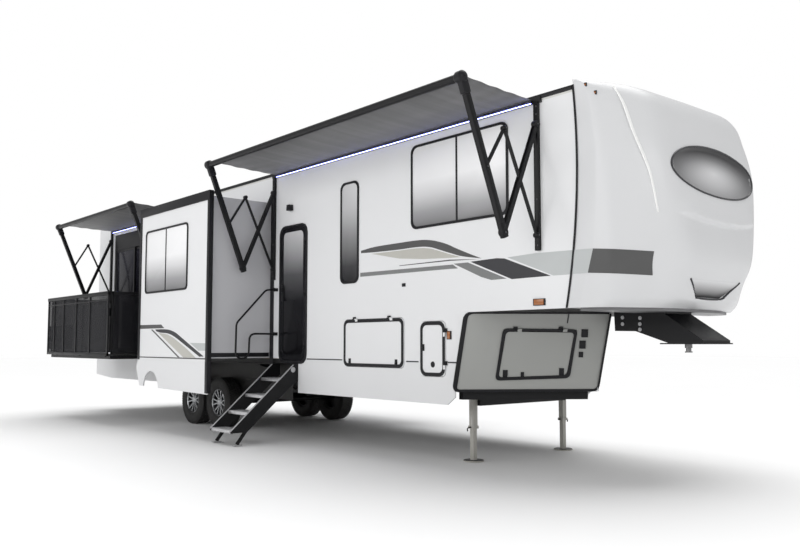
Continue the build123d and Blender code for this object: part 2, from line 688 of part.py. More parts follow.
def make_hatches():
    """Luggage and service doors on the curb side and the luggage door on the road side."""
    save("middle_hatch", leaf(MIDDLE_HATCH, -1))
    save("service_hatch", leaf(SERVICE_HATCH, -1))
    (ax, az), (bx, bz), (cx, cz), (dx, dz) = STORAGE_HATCH
    lean = DOOR_GAP * 1.3
    points = [(ax + lean, az + DOOR_GAP), (bx - lean, bz + DOOR_GAP),
              (cx - lean, cz - DOOR_GAP), (dx + lean, dz - DOOR_GAP)]
    hatch = bow_piece(points, LEAF_PROUD, LEAF)
    save("storage_hatch_curb", hatch)
    plane = bow_plane()
    along = plane.x_dir
    fixed = []
    for u in BOW_HINGES:
        origin = plane.from_local_coords(Vector(u, BOW_HINGE_V, HINGE_OUT))
        fixed.append(hinge_at("storage_hatch_curb", Plane(origin=origin, x_dir=plane.y_dir, z_dir=along), HINGE_OUT))
    fixed += [mirror(piece, about=Plane.XZ) for piece in fixed]
    save("storage_hatch_road", mirror(solids["storage_hatch_curb"], about=Plane.XZ))
    outside = -HALF - HINGE_OUT
    top = MIDDLE_HATCH[3] - 3
    for x in (MIDDLE_HATCH[0] + 250, MIDDLE_HATCH[1] - 250):
        fixed.append(hinge_at("middle_hatch", Plane(origin=(x, outside, top), x_dir=(0, 0, 1), z_dir=(1, 0, 0)),
                              HINGE_OUT))
    edge = SERVICE_HATCH[1] - 3
    for z in (SERVICE_HATCH[2] + 130, SERVICE_HATCH[3] - 130):
        fixed.append(hinge_at("service_hatch", Plane(origin=(edge, outside, z), x_dir=(1, 0, 0), z_dir=(0, 0, -1)),
                              HINGE_OUT))
    edge = ENTRY[1] - ENTRY_RIM - 3
    for z in spaced(ENTRY[2] + 250, ENTRY[3] - 250, 3):
        fixed.append(hinge_at("entry_door", Plane(origin=(edge, outside, z), x_dir=(1, 0, 0), z_dir=(0, 0, -1)),
                              HINGE_OUT - FRAME_PROUD))
    return fixed


def slide_parts(prefix, side, rear, front, window, skirt):
    """Slide-out: box of floor, roof and end walls, outer face with its window, and its skirt."""
    x0 = rear + SLIDE_LAP + 10
    x1 = front - SLIDE_LAP - 10
    z0 = FLOOR_TOP + 8
    z1 = SLIDE_TOP - SLIDE_LAP - 10
    outer = side * (HALF + SLIDE_OUT)
    inner_face = side * (HALF + SLIDE_OUT - SLIDE_FACE)
    y0, y1 = sorted((inner_face, side * (INNER - 20)))
    box = block(x0, x1, y0, y1, z0, z1)
    box -= block(x0 + SLIDE_WALL, x1 - SLIDE_WALL, y0 - 1, y1 + 1, z0 + SLIDE_WALL, z1 - SLIDE_WALL)
    for x in spaced(x0 + 100, x1 - 100 - RUNNER, 4):
        box += block(x, x + RUNNER, y0, y1, FLOOR_TOP + SEAT, z0)
    save(prefix + "_box", box)
    y0, y1 = sorted((outer, inner_face))
    face = block(rear, front, y0, y1, SLIDE_BOTTOM, SLIDE_TOP)
    save(prefix + "_face", face - rounded(*window, y0 - 1, y1 + 1))
    rim = 28.0
    y0, y1 = sorted((side * (HALF + SLIDE_OUT + 10), inner_face))
    save(prefix + "_window", window_frame(*window, y0, y1, rim, 24.0))
    x0, x1, z0, z1, radius = window
    y0, y1 = sorted((side * (HALF + SLIDE_OUT - 2), side * (HALF + SLIDE_OUT + 4)))
    pane = rounded(x0 + rim, x1 - rim, z0 + rim, z1 - rim, radius - rim / 2, y0, y1)
    middle = (x0 + x1) / 2
    pane -= block(middle - 12, middle + 12, y0 - 1, y1 + 1, z0, z1)
    save(prefix + "_glass", pane)
    if skirt:
        y0, y1 = sorted((outer, outer - side * SKIRT))
        arch = -7620.0
        points = [(rear, SLIDE_BOTTOM), (rear - 80, SLIDE_BOTTOM - 120), (rear + 60, SLIDE_SKIRT_BOTTOM + 40),
                  (front, SLIDE_SKIRT_BOTTOM), (front, SLIDE_BOTTOM)]
        panel = side_plate(points, y0, y1)
        panel -= Pos(arch, (y0 + y1) / 2, SLIDE_SKIRT_BOTTOM) * Rot(90, 0, 0) * Cylinder(270, 3 * SKIRT)
        save(prefix + "_skirt", panel)


def make_patio_door():
    """Sliding patio door: frame with a fixed half and a sliding half, each with its glass."""
    x0, x1, z0, z1 = PATIO_DOOR
    rim = 40.0
    frame = block(x0, x1, -HALF - 12, -INNER, z0, z1)
    frame -= block(x0 + rim, x1 - rim, -HALF - 13, -INNER + 1, z0 + rim, z1 - rim)
    middle = (x0 + x1) / 2
    stile = 45.0
    low = z0 + rim
    high = z1 - rim
    fixed = block(x0 + rim, middle + stile, -HALF, -HALF + 20, low, high)
    fixed -= block(x0 + rim + stile, middle, -HALF - 1, -HALF + 21, low + stile, high - stile)
    frame += fixed
    save("patio_frame", frame)
    save("patio_glass", block(x0 + rim + stile, middle, -HALF + 7, -HALF + 13, low + stile, high - stile))
    left = middle - stile / 2
    right = x1 - rim - GAP
    near = -HALF + 26
    slider = block(left, right, near, near + 20, low + SEAT, high - GAP)
    slider -= block(left + stile, right - stile, near - 1, near + 21, low + stile, high - stile)
    save("patio_slider", slider)
    save("patio_slider_glass", block(left + stile, right - stile, near + 7, near + 13, low + stile, high - stile))


def rail_panel(x0, x1, y, tubes):
    """Rail in a plane of constant Y: tubes round the edge and upright tubes, with a thin mesh between."""
    half = RAIL_TUBE / 2
    top = RAIL_BASE + RAIL_HEIGHT
    panel = block(x0, x1, y - half, y + half, RAIL_BASE, RAIL_BASE + RAIL_TUBE)
    panel += block(x0, x1, y - half, y + half, top - RAIL_TUBE, top)
    for number in range(tubes):
        x = x0 + half + number * (x1 - x0 - RAIL_TUBE) / (tubes - 1)
        panel += block(x - half, x + half, y - half, y + half, RAIL_BASE, top)
    panel += block(x0, x1, y - 2, y + 2, RAIL_BASE, top)
    return panel


def make_patio():
    """Fold-up patio deck with its outer rail and two end rails, all on knuckled hinges."""
    hinge = PATIO_HINGE_Y - PATIO_REACH
    knuckle = PATIO_HINGE_Z - PATIO_TOP - SEAT
    deck = block(PATIO_REAR + 40, PATIO_FRONT - 40, hinge + DECK_SET, PATIO_HINGE_Y - 12,
                 PATIO_TOP - PATIO_T, PATIO_TOP)
    brackets = []
    for x in spaced(PATIO_REAR + 300, PATIO_FRONT - 390, 4):
        deck += rod((x, PATIO_HINGE_Y, PATIO_HINGE_Z), (x + LUG, PATIO_HINGE_Y, PATIO_HINGE_Z), knuckle)
        deck += block(x, x + LUG, PATIO_HINGE_Y - 14, PATIO_HINGE_Y, PATIO_TOP - 10, PATIO_HINGE_Z)
        brackets.append(block(x + LUG + SEAT, x + 1.5 * LUG, PATIO_HINGE_Y - 8, -HALF,
                              PATIO_HINGE_Z - 8, PATIO_HINGE_Z + 8))
    y = hinge - RAIL_OUT - RAIL_TUBE / 2
    outer = rail_panel(PATIO_REAR, PATIO_FRONT, y, 5)
    for x in spaced(PATIO_REAR + 250, PATIO_FRONT - 340, 3):
        outer += rod((x, hinge, PATIO_HINGE_Z), (x + LUG, hinge, PATIO_HINGE_Z), knuckle)
        outer += block(x, x + LUG, hinge - RAIL_OUT - 1, hinge, PATIO_HINGE_Z - 8, PATIO_HINGE_Z + 8)
        deck += block(x + LUG + SEAT, x + 1.5 * LUG, hinge - 6, hinge + DECK_SET + 10,
                      PATIO_TOP - 10, PATIO_HINGE_Z + 8)
    start = y + RAIL_TUBE / 2 + 35
    end = -HALF - 60
    half = RAIL_TUBE / 2
    low = RAIL_BASE + 30
    top = RAIL_BASE + RAIL_HEIGHT
    axis_y = y + RAIL_TUBE / 2 + PIN_R + GAP
    for name, x, inward in (("patio_rail_rear", PATIO_REAR + half, 1), ("patio_rail_front", PATIO_FRONT - half, -1)):
        panel = block(x - half, x + half, start, end, low, low + RAIL_TUBE)
        panel += block(x - half, x + half, start, end, top - RAIL_TUBE, top)
        for post in spaced(start + half, end - half, 3):
            panel += block(x - half, x + half, post - half, post + half, low, top)
        panel += block(x - 2, x + 2, start, end, low, top)
        axis_x = x + inward * half
        for z in (low + 120, top - 220):
            panel += block(axis_x - PIN_R, axis_x + PIN_R, axis_y - PIN_R, start + 5, z, z + 40)
            outer += block(axis_x - PIN_R, axis_x + PIN_R, y, axis_y + PIN_R, z + 40 + SEAT, z + 80)
        save(name, panel)
    save("patio_deck", deck)
    save("patio_rail_outer", outer)
    return brackets


# Awnings. Columns: name, rear and front arm x, heights of the wall rail, the roller, the shoulder and the lower pivot
AWNINGS = (
    ("awning_front", -5725.0, -850.0, 3690.0, 3725.0, 3460.0, 2360.0),
    ("awning_rear", -11830.0, -8390.0, 3510.0, 3530.0, 3340.0, 2290.0),
)
ROLLER_R = 40.0
ROLLER_Y = -2270.0
KNEE_Y = -1735.0
KNEE_DROP = 1115.0
APEX_Y = -1710.0
APEX_DROP = 115.0
ELBOW_SHARE = 0.57
WALL_RAIL_H = 62.0
WALL_RAIL_D = 28.0
CHANNEL_W = 50.0
CHANNEL_D = 35.0
ARM_W = 50.0
ARM_D = 62.0
STRUT_W = 16.0
STRUT_D = 44.0
LINK = 26.0
FABRIC = 5.0


def make_awnings():
    """Folding awnings: wall rail and channels, elbowed arms with their links, roller tube and fabric."""
    wall = -HALF
    for name, rear, front, rail_z, roller_z, shoulder_z, pivot_z in AWNINGS:
        frame = rod((rear, ROLLER_Y, roller_z), (front, ROLLER_Y, roller_z), ROLLER_R)
        frame += block(rear - 55, front + 55, wall - WALL_RAIL_D, wall, rail_z - 13, rail_z - 13 + WALL_RAIL_H)
        for x in (rear, front):
            head = (x, ROLLER_Y, roller_z)
            knee = (x, KNEE_Y, shoulder_z - KNEE_DROP)
            apex = (x, APEX_Y, shoulder_z - APEX_DROP)
            elbow = (x, head[1] + ELBOW_SHARE * (knee[1] - head[1]), head[2] + ELBOW_SHARE * (knee[2] - head[2]))
            frame += bar(head, knee, ARM_W, ARM_D)
            for aside in (STRUT_W, -STRUT_W):
                frame += bar((x + aside, KNEE_Y, knee[2]), (x + aside, wall - CHANNEL_D, shoulder_z), STRUT_W, STRUT_D)
            frame += bar(elbow, apex, LINK, LINK)
            frame += bar(apex, (x, wall - CHANNEL_D, pivot_z), LINK, LINK)
            half = CHANNEL_W / 2
            frame += block(x - half, x + half, wall - CHANNEL_D, wall, pivot_z - 150, rail_z)
        save(name + "_frame", frame)
        top = roller_z + ROLLER_R + SEAT
        edge = wall - WALL_RAIL_D - SEAT
        points = [
            (edge, rail_z + 20),
            (ROLLER_Y, top),
            (ROLLER_Y, top + FABRIC),
            (edge, rail_z + 20 + FABRIC),
        ]
        save(name + "_fabric", cross_plate(points, rear + 40, front - 40))


# Grab handle: hinge line out from the wall, then its bends as reach from that line and height
HANDLE_OUT = 55.0
HANDLE_R = 13.5
HANDLE_BENDS = ((0, 2066), (131, 2056), (588, 1584), (596, 1160), (552, 1107), (440, 1107), (392, 1160), (383, 1405),
                (330, 1443), (0, 1443))


def make_grab_handle():
    """Fold-out grab handle beside the entry door: one bent tube between two wall brackets."""
    x = -5650.0
    hinge = -HALF - HANDLE_OUT
    points = [(x, hinge - out, z) for out, z in HANDLE_BENDS]
    path = Polyline(*points)
    tube = sweep(Plane(origin=path @ 0, z_dir=path % 0) * RegularPolygon(HANDLE_R, 8), path=path,
                 transition=Transition.RIGHT)
    brackets = []
    for z in (2066, 1443):
        tube += rod((x, hinge, z - 26), (x, hinge, z + 26), 14)
        brackets.append(block(x - 20, x + 20, hinge + 14 + SEAT, -HALF, z - 22, z + 22))
    save("grab_handle", tube)
    return brackets


def make_hitch():
    """Pin box bolted under the raised floor, its coupler plate and the king pin."""
    half = 250.0
    top = DECK_BOTTOM - SEAT
    outline = [
        (-688.0, top),
        (-680.0, 1435.0),
        (-441.0, 1432.0),
        (-72.0, COUPLER_BOTTOM + COUPLER_PLATE),
        (300.0, COUPLER_BOTTOM + COUPLER_PLATE),
        (300.0, COUPLER_BOTTOM + COUPLER_PLATE + 25),
        (-107.0, 1600.0),
        (-107.0, top),
    ]
    box = side_plate(outline, -half, half)
    box += block(-160, 327, -half, half, COUPLER_BOTTOM, COUPLER_BOTTOM + COUPLER_PLATE)
    box -= rod((0, 0, COUPLER_BOTTOM - 1), (0, 0, COUPLER_BOTTOM + COUPLER_PLATE), PIN_FLANGE_R + SEAT)
    save("pin_box", box)
    z = PIN_BOTTOM
    pin = None
    for radius, height in ((PIN_FLANGE_R, PIN_FLANGE), (PIN_NECK_R, PIN_NECK),
                           (PIN_FLANGE_R, PIN_COLLAR + COUPLER_PLATE)):
        piece = rod((0, 0, z), (0, 0, z + height), radius)
        pin = piece if pin is None else pin + piece
        z += height
    save("king_pin", pin)


def make_legs():
    """Landing legs: outer tube under the frame rail, inner tube and round foot plate."""
    legs = []
    top = RAIL_TOP
    for side in (-1, 1):
        y = side * LEG_Y
        inner = block(LEG_X - LEG_INNER / 2, LEG_X + LEG_INNER / 2, y - LEG_INNER / 2, y + LEG_INNER / 2,
                      LEG_FOOT, LEG_OUTER_BOTTOM + 60)
        outer = block(LEG_X - LEG_OUTER / 2, LEG_X + LEG_OUTER / 2, y - LEG_OUTER / 2, y + LEG_OUTER / 2,
                      LEG_OUTER_BOTTOM, top)
        legs.append(outer + inner + many_sided((LEG_X, y, 0), (LEG_X, y, LEG_FOOT), LEG_FOOT_R, 24))
    save("landing_legs", together(legs))


# Roof fittings: heights, half widths, ends behind and ahead of their middles at the foot and at the top
UNIT_HEIGHT = 330.0
UNIT_HALF = 360.0
UNIT_FOOT = (420.0, 520.0)
UNIT_TOP = (350.0, 470.0)
UNIT_PLACES = (0.24, 0.785)
VENT_HEIGHT = 110.0
VENT_HALF = 200.0
VENT_TOP = 180.0
VENT_PLACES = (0.12, 0.53, 0.90)


def roof_box(x, foot, top, height, half):
    """Box with slanted ends that sits on the roof at x."""
    z = roof_line(x) + height
    return side_plate([(x - foot[0], roof_line(x - foot[0])), (x + foot[1], roof_line(x + foot[1])),
                       (x + top[1], z), (x - top[0], z)], -half, half)


def make_roof_fittings():
    """Air conditioners and vents on the roof."""
    places = [JOINT_X + share * (REAR - JOINT_X) for share in UNIT_PLACES]
    save("air_conditioners", together([roof_box(x, UNIT_FOOT, UNIT_TOP, UNIT_HEIGHT, UNIT_HALF) for x in places]))
    places = [JOINT_X + share * (REAR - JOINT_X) for share in VENT_PLACES]
    foot, top = (VENT_HALF, VENT_HALF), (VENT_TOP, VENT_TOP)
    save("roof_vents", together([roof_box(x, foot, top, VENT_HEIGHT, VENT_HALF) for x in places]))


# Marker lamps on the sides: x and height; tail lamps: place from the middle, half width and height range
MARKERS = ((JOINT_X - 430, DECK_BOTTOM + 79), (REAR + 170, FLOOR_TOP + 198))
MARKER_HALF = (50.0, 25.0)
LAMP_PROUD = 22.0
TAIL_Y = HALF - 220.0
TAIL_HALF = 60.0
TAIL_Z = (FLOOR_TOP + 198, FLOOR_TOP + 598)


def make_lamps():
    """Amber marker lamps on both sides and tail lamps on the rear wall."""
    lamps = []
    long, tall = MARKER_HALF
    for side in (-1, 1):
        for x, z in MARKERS:
            y0, y1 = sorted((side * HALF, side * (HALF + LAMP_PROUD)))
            lamps.append(block(x - long, x + long, y0, y1, z - tall, z + tall))
        middle = side * TAIL_Y
        lamps.append(block(REAR - 30, REAR, middle - TAIL_HALF, middle + TAIL_HALF, *TAIL_Z))
    save("lamps", together(lamps))


def make_all():
    """Build every node."""
    make_floors()
    make_walls()
    make_roof()
    make_cap()
    make_tub()
    make_skirts()
    make_frame()
    make_running_gear()
    make_wheels()
    make_steps()
    make_windows(make_entry())
    brackets = make_hatches()
    slide_parts("curb_slide", -1, SLIDE_REAR, SLIDE_FRONT, SLIDE_WINDOW, True)
    slide_parts("road_slide", 1, ROAD_SLIDE_REAR, ROAD_SLIDE_FRONT, ROAD_SLIDE_WINDOW, False)
    make_patio_door()
    save("wall_brackets", together(brackets + make_patio() + make_grab_handle()))
    make_awnings()
    make_hitch()
    make_legs()
    make_roof_fittings()
    make_lamps()


make_all()
os.makedirs("parts", exist_ok=True)
for name, shape in solids.items():
    export_step(Pos(0, 0, -PIN_HEIGHT) * shape, "parts/" + name + ".step")
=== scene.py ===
"""Fifth wheel trailer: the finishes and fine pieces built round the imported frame, laid out as an add-on."""

import json
import math

import bmesh
import bpy
from bpy.props import FloatProperty, FloatVectorProperty, PointerProperty
from mathutils import Matrix, Vector
from mathutils.bvhtree import BVHTree


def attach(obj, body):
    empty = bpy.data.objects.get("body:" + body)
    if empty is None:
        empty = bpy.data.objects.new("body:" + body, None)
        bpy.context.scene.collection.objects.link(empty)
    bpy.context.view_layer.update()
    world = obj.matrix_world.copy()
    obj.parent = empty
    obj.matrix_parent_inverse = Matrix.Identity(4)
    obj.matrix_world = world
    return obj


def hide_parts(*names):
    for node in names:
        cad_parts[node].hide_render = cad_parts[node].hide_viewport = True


bl_info = {
    "name": "Fifth wheel trailer",
    "version": (1, 0, 0),
    "blender": (4, 5, 0),
    "location": "3D View > Sidebar > Trailer",
    "description": "Skin, awnings, patio, wheels and fittings of a parked fifth wheel trailer",
    "category": "Object",
}

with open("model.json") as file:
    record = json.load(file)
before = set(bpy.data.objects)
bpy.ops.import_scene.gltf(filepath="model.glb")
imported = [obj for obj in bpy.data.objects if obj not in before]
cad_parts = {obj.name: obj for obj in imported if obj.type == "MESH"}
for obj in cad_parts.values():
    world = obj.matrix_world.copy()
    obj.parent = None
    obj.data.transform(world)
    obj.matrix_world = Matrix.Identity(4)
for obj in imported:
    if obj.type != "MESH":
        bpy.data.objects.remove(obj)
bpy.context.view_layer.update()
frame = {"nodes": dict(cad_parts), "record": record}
MOUNTS = {mount["name"]: mount for mount in frame["record"]["mounts"]}
GROUND = MOUNTS["foot_curb"]["pos_m"][2]

# Sizes of the body in metres: heights above the ground, X ahead of the king pin, Y to the road side
HALF = 1.220
REAR = -12.520
FLOOR_TOP = 1.102
DECK = 1.640
DECK_TOP = 1.720
ROOF_REAR = 3.745
ROOF_FRONT = 3.755
JOINT = (DECK, -0.525), (2.990, -0.378), (3.955, -0.434)
JOINT_X = -0.434
SLIDE_FACE = HALF + 0.990
SLIDE = (-8.090, -5.800, 1.070, 3.390)
ROAD_SLIDE = (-9.300, -5.700, 1.070, 3.390)
SLIDE_SKIRT = 0.640
TRACK_OUT = 1.190
TYRE_R = 0.389
AXLES = (-8.300, -7.430)
LEG_X = -2.206
LEG_Y = 0.782

# Openings: rear x, front x, bottom, top, corner radius
ENTRY = (-5.582, -4.894, 1.035, 2.950, 0.130)
NARROW_WINDOW = (-4.135, -3.753, 2.060, 3.356, 0.090)
FRONT_WINDOW = (-2.754, -1.245, 2.614, 3.590, 0.090)
SLIDE_WINDOW = (-7.880, -6.440, 2.070, 3.035, 0.070)
MIDDLE_HATCH = (-4.056, -2.880, 1.019, 1.610, 0.075)
SERVICE_HATCH = (-2.601, -2.184, 0.940, 1.557, 0.085)
REAR_SIDE_WINDOW = (-11.400, -10.000, 1.900, 2.900, 0.090)
ROAD_SLIDE_WINDOW = (-8.400, -6.800, 2.100, 2.800, 0.070)
PATIO_DOOR = (-11.650, -9.900, 1.134, 3.180)
WHEELS = (
    ("curb_front", AXLES[1], -1),
    ("curb_rear", AXLES[0], -1),
    ("road_front", AXLES[1], 1),
    ("road_rear", AXLES[0], 1),
)
# Awnings: name, rear arm x, front arm x, wall rail, roller, shoulder and lower pivot heights
AWNINGS = (
    ("awning_front", -5.725, -0.850, 3.690, 3.725, 3.460, 2.360),
    ("awning_rear", -11.830, -8.390, 3.510, 3.530, 3.340, 2.290),
)
ROLLER_Y = -2.270
ROLLER_R = 0.040
WALL_RAIL_Y = -1.248
CHANNEL_Y = -1.255
KNEE_Y = -1.735
KNEE_DROP = 1.115
APEX_Y = -1.710
APEX_DROP = 0.115
ELBOW_SHARE = 0.57
# Front cap: height, reach of the nose on the centre line, fullness of its corners, x where its sides turn in
CAP_SECTIONS = (
    (1.640, 0.100, 0.0, -0.392), (1.720, 0.230, 0.0, -0.361), (1.900, 0.320, 0.0, -0.305),
    (2.200, 0.410, 0.25, -0.209), (2.950, 0.350, 1.0, -0.151), (3.400, 0.240, 1.0, -0.198),
    (3.600, 0.150, 1.0, -0.235), (3.740, -0.020, 1.0, -0.290), (3.820, -0.324, 1.0, -0.400),
)
# Bends of the folded grab handle: reach out from its hinge line and height
HANDLE_X = -5.650
HANDLE = ((0.0, 2.066), (0.131, 2.056), (0.588, 1.584), (0.596, 1.160), (0.552, 1.107), (0.440, 1.107),
          (0.392, 1.160), (0.383, 1.405), (0.330, 1.443), (0.0, 1.443))
# Oval recess in the nose: half width, half height and middle height
OVAL = (0.744, 0.250, 2.945)
# Patio: rear and front ends, hinge line, rail line, rail foot and rail top
PATIO = (-11.650, -8.690)
PATIO_HINGE = (-2.425, 1.120)
PATIO_RAIL_Y = -2.465
PATIO_RAIL_Z = (1.112, 2.147)
# Steps: ends along the trailer, sill, nose and height of the lowest tread, rise, run and depth of each tread
STEPS = (-5.679, -5.109, 1.030)
STEP_NOSE = (-2.210, 0.200)
TREAD = (0.212, 0.248, 0.215)
# Curb side bow panel of the storage tub: its lower rear corner, then its foot and its rear edge from there
BOW_CORNER = (-2.046, -HALF, 0.790)
BOW_FOOT = (0.940, HALF, 0.0)
BOW_REAR = (0.190, 0.0, 0.850)
# Camera: place, heading and tilt in degrees, and the width of its sensor in millimetres
EYE = (4.424, -7.463, 1.300)
EYE_YAW = 40.212
EYE_PITCH = 4.42
SENSOR = 36.0
# Light: strength of the world, then energy, width in degrees and direction of the overhead light
WORLD_STRENGTH = 0.50
OVERHEAD = (2.15, 60.0, (0.24, -0.30, -1.0))
# Area lights: name, place, width, depth, power and aim
AREA_LIGHTS = (
    ("curb_side", (-5.0, -17.0, 5.0), 22.0, 6.0, 900.0, (-5.5, 0.0, 0.6)),
    ("nose_side", (13.0, -5.0, 6.0), 8.0, 6.0, 300.0, (0.0, 0.0, 1.0)),
)
FLOOR_REACH = 80.0
SIDES = ((-1, "curb"), (1, "road"))

def up(x, y, z):
    """A point given by its height above the ground, in the frame of the model."""
    return Vector((x, y, z + GROUND))


def roof_line(x):
    """Height of the roof's edge at x."""
    return ROOF_REAR + (x - REAR) / (JOINT_X - REAR) * (ROOF_FRONT - ROOF_REAR)


class Wire:
    """A number that flows between shader nodes, so that arithmetic on it adds Math nodes."""

    def __init__(self, finish, socket):
        self.finish = finish
        self.socket = socket

    def _math(self, operation, left, right):
        return self.finish.node("ShaderNodeMath", {"operation": operation}, {0: left, 1: right})

    def __add__(self, other):
        return self._math("ADD", self, other)

    def __sub__(self, other):
        return self._math("SUBTRACT", self, other)

    def __mul__(self, other):
        return self._math("MULTIPLY", self, other)

    def __truediv__(self, other):
        return self._math("DIVIDE", self, other)

    def __lt__(self, other):
        return self._math("LESS_THAN", self, other)

    def clamped(self):
        return self.finish.node("ShaderNodeClamp", {}, {0: self})

    def absolute(self):
        return self._math("ABSOLUTE", self, 0.0)

    def sine(self):
        return self._math("SINE", self, 0.0)

    def fraction(self):
        return self._math("FRACT", self, 0.0)


class Finish:
    """One material: its shader, and a way to add any other node to it."""

    def __init__(self, name, colour, roughness, metallic=0.0, coat=0.0, **sockets):
        self.material = bpy.data.materials.new(name)
        self.material.use_nodes = True
        self.tree = self.material.node_tree
        self.shader = self.tree.nodes["Principled BSDF"]
        self.set("Base Color", (*colour, 1.0))
        self.set("Roughness", roughness)
        self.set("Metallic", metallic)
        self.set("Coat Weight", coat)
        for socket, value in sockets.items():
            self.set(socket.replace("_", " ").title().replace("Ior", "IOR"), value)
        self.material.diffuse_color = (*colour, 1.0)
        self._coordinates = None

    def set(self, socket, value):
        """Give one of the shader's sockets a value or a wire."""
        target = self.shader.inputs[socket]
        if isinstance(value, Wire):
            self.tree.links.new(value.socket, target)
        else:
            target.default_value = value

    def node(self, kind, settings, inputs, output=0):
        """Add a node with its settings first and then its inputs, and give back one output."""
        node = self.tree.nodes.new(kind)
        for name, value in settings.items():
            if name == "stops":
                ramp = node.color_ramp
                while len(ramp.elements) < len(value):
                    ramp.elements.new(0.5)
                for element, (place, shade) in zip(ramp.elements, value):
                    element.position = place
                    element.color = (*shade, 1.0)
            else:
                setattr(node, name, value)
        for name, value in inputs.items():
            target = node.inputs[name]
            if isinstance(value, Wire):
                self.tree.links.new(value.socket, target)
            elif value is not None:
                target.default_value = value
        return Wire(self, node.outputs[output])

    def coordinates(self):
        """Object coordinates."""
        if self._coordinates is None:
            self._coordinates = self.node("ShaderNodeTexCoord", {}, {}, "Object")
        return self._coordinates

    def stretched(self, x, y, z):
        """Object coordinates scaled along each axis."""
        return self.node("ShaderNodeMapping", {}, {"Vector": self.coordinates(), "Scale": (x, y, z)})

    def axis(self, number):
        """One of the three Object coordinates."""
        return self.node("ShaderNodeSeparateXYZ", {}, {0: self.coordinates()}, number)

    def noise(self, scale, detail=2.0, place=None):
        """Soft noise from nought to one."""
        place = self.coordinates() if place is None else place
        return self.node("ShaderNodeTexNoise", {}, {"Vector": place, "Scale": scale, "Detail": detail})

    def mix(self, factor, first, second):
        """Mix of two colours."""
        first = first if isinstance(first, Wire) else (*first, 1.0)
        second = second if isinstance(second, Wire) else (*second, 1.0)
        return self.node("ShaderNodeMix", {"data_type": "RGBA"}, {0: factor, 6: first, 7: second}, 2)

    def relief(self, height, strength=0.3, distance=0.001):
        """Bump from a height."""
        bump = self.node("ShaderNodeBump", {}, {"Height": height, "Strength": strength, "Distance": distance})
        self.set("Normal", bump)
        return self


def shade(colour, by):
    """A colour made lighter or darker."""
    return tuple(min(1.0, part * by) for part in colour)


FINISHES = {}


def finish(name):
    """The material of a finish, made at its first use."""
    if name not in FINISHES:
        maker, *settings = FINISH_MAKERS[name]
        FINISHES[name] = maker(*settings)
    return FINISHES[name].material


def gelcoat(name, colour):
    """Gloss gelcoat: faint uneven tone, slight waves and a clear coat."""
    made = Finish(name, colour, 0.30, coat=0.2, coat_roughness=0.22, specular_ior_level=0.35)
    tone = made.noise(0.8, 3.0)
    made.set("Base Color", made.mix(tone, shade(colour, 0.97), shade(colour, 1.02)))
    made.set("Roughness", made.noise(6.0, 2.0) * 0.08 + 0.34)
    waves = made.noise(2.2, 1.0) * 0.7 + made.noise(260.0, 1.0) * 0.012
    return made.relief(waves, 0.10, 0.004)


def painted_metal(name, colour, roughness=0.4, grain=420.0):
    """Powder coated metal: fine orange peel and rubbed patches."""
    dark = max(colour) < 0.1
    made = Finish(name, colour, roughness, specular_ior_level=0.22 if dark else 0.5)
    patches = made.noise(5.0, 4.0)
    made.set("Base Color", made.mix(patches, shade(colour, 0.8), shade(colour, 1.25)))
    made.set("Roughness", patches * 0.2 + (roughness - 0.1))
    return made.relief(made.noise(grain, 2.0), 0.25, 0.0006)


def moulding(name, colour, roughness=0.35):
    """Gloss moulded plastic trim."""
    dark = max(colour) < 0.1
    made = Finish(name, colour, roughness, coat=0.0 if dark else 0.2, coat_roughness=0.2,
                  specular_ior_level=0.22 if dark else 0.5)
    made.set("Base Color", made.mix(made.noise(7.0, 3.0), shade(colour, 0.8), shade(colour, 1.2)))
    made.set("Roughness", made.noise(30.0, 3.0) * 0.14 + (roughness - 0.07))
    return made.relief(made.noise(700.0, 1.0), 0.12, 0.0004)


def graded_glass(name, stops, roughness=0.14, gloss=0.3):
    """Tinted safety glass whose colour goes from light at the top to dark at its foot: a painted reflection
    of the bright studio over its dark tint. The oval plate and the scoop floor use it for painted shade.
    """
    made = Finish(name, (0.2, 0.2, 0.21), roughness, specular_ior_level=gloss)
    rise = made.node("ShaderNodeAttribute", {"attribute_name": "rise"}, {}, "Fac")
    wave = made.noise(1.4, 1.0) * 0.03
    # Painted reflection and shade: the colour follows the rise through the ramp, light at the top and dark at
    # the foot
    ramp = made.node("ShaderNodeValToRGB", {"stops": stops}, {0: rise + wave - 0.015})
    made.set("Base Color", ramp)
    return made.relief(made.noise(1.1, 0.0), 0.03, 0.01)


def body_gelcoat():
    """Gelcoat in the colour that is set for the body."""
    return gelcoat("white_gelcoat", tuple(bpy.context.scene.trailer_colours.body))


def awning_cloth():
    """Coated awning cloth: charcoal with long cross bands of painted sheen in its colour and a fine weave."""
    made = Finish("awning_cloth", (0.075, 0.075, 0.078), 0.55, sheen_weight=0.2)
    across = made.noise(1.0, 4.0, made.stretched(9.0, 0.25, 0.25))
    along = made.noise(1.0, 3.0, made.stretched(0.5, 2.0, 2.0))
    # Painted sheen: lighter and darker bands across and along the cloth
    tone = made.node("ShaderNodeValToRGB", {"stops": (
        (0.25, (0.045, 0.045, 0.047)), (0.5, (0.085, 0.085, 0.088)), (0.8, (0.17, 0.17, 0.175)))},
        {0: across * 0.5 + along * 0.5})
    made.set("Base Color", tone)
    x = made.axis(0)
    y = made.axis(1)
    weave = (x * 2400.0).sine() * (y * 2400.0).sine()
    return made.relief(weave * 0.5 + made.noise(900.0, 1.0) * 0.5, 0.15, 0.0006)


def rubber():
    """Tyre rubber with dusty patches spread at random."""
    made = Finish("tyre_rubber", (0.016, 0.016, 0.016), 0.75)
    dust = made.noise(9.0, 5.0)
    made.set("Base Color", made.mix(dust, (0.010, 0.010, 0.010), (0.028, 0.027, 0.026)))
    made.set("Roughness", made.noise(40.0, 3.0) * 0.2 + 0.62)
    return made.relief(made.noise(300.0, 3.0), 0.35, 0.0008)


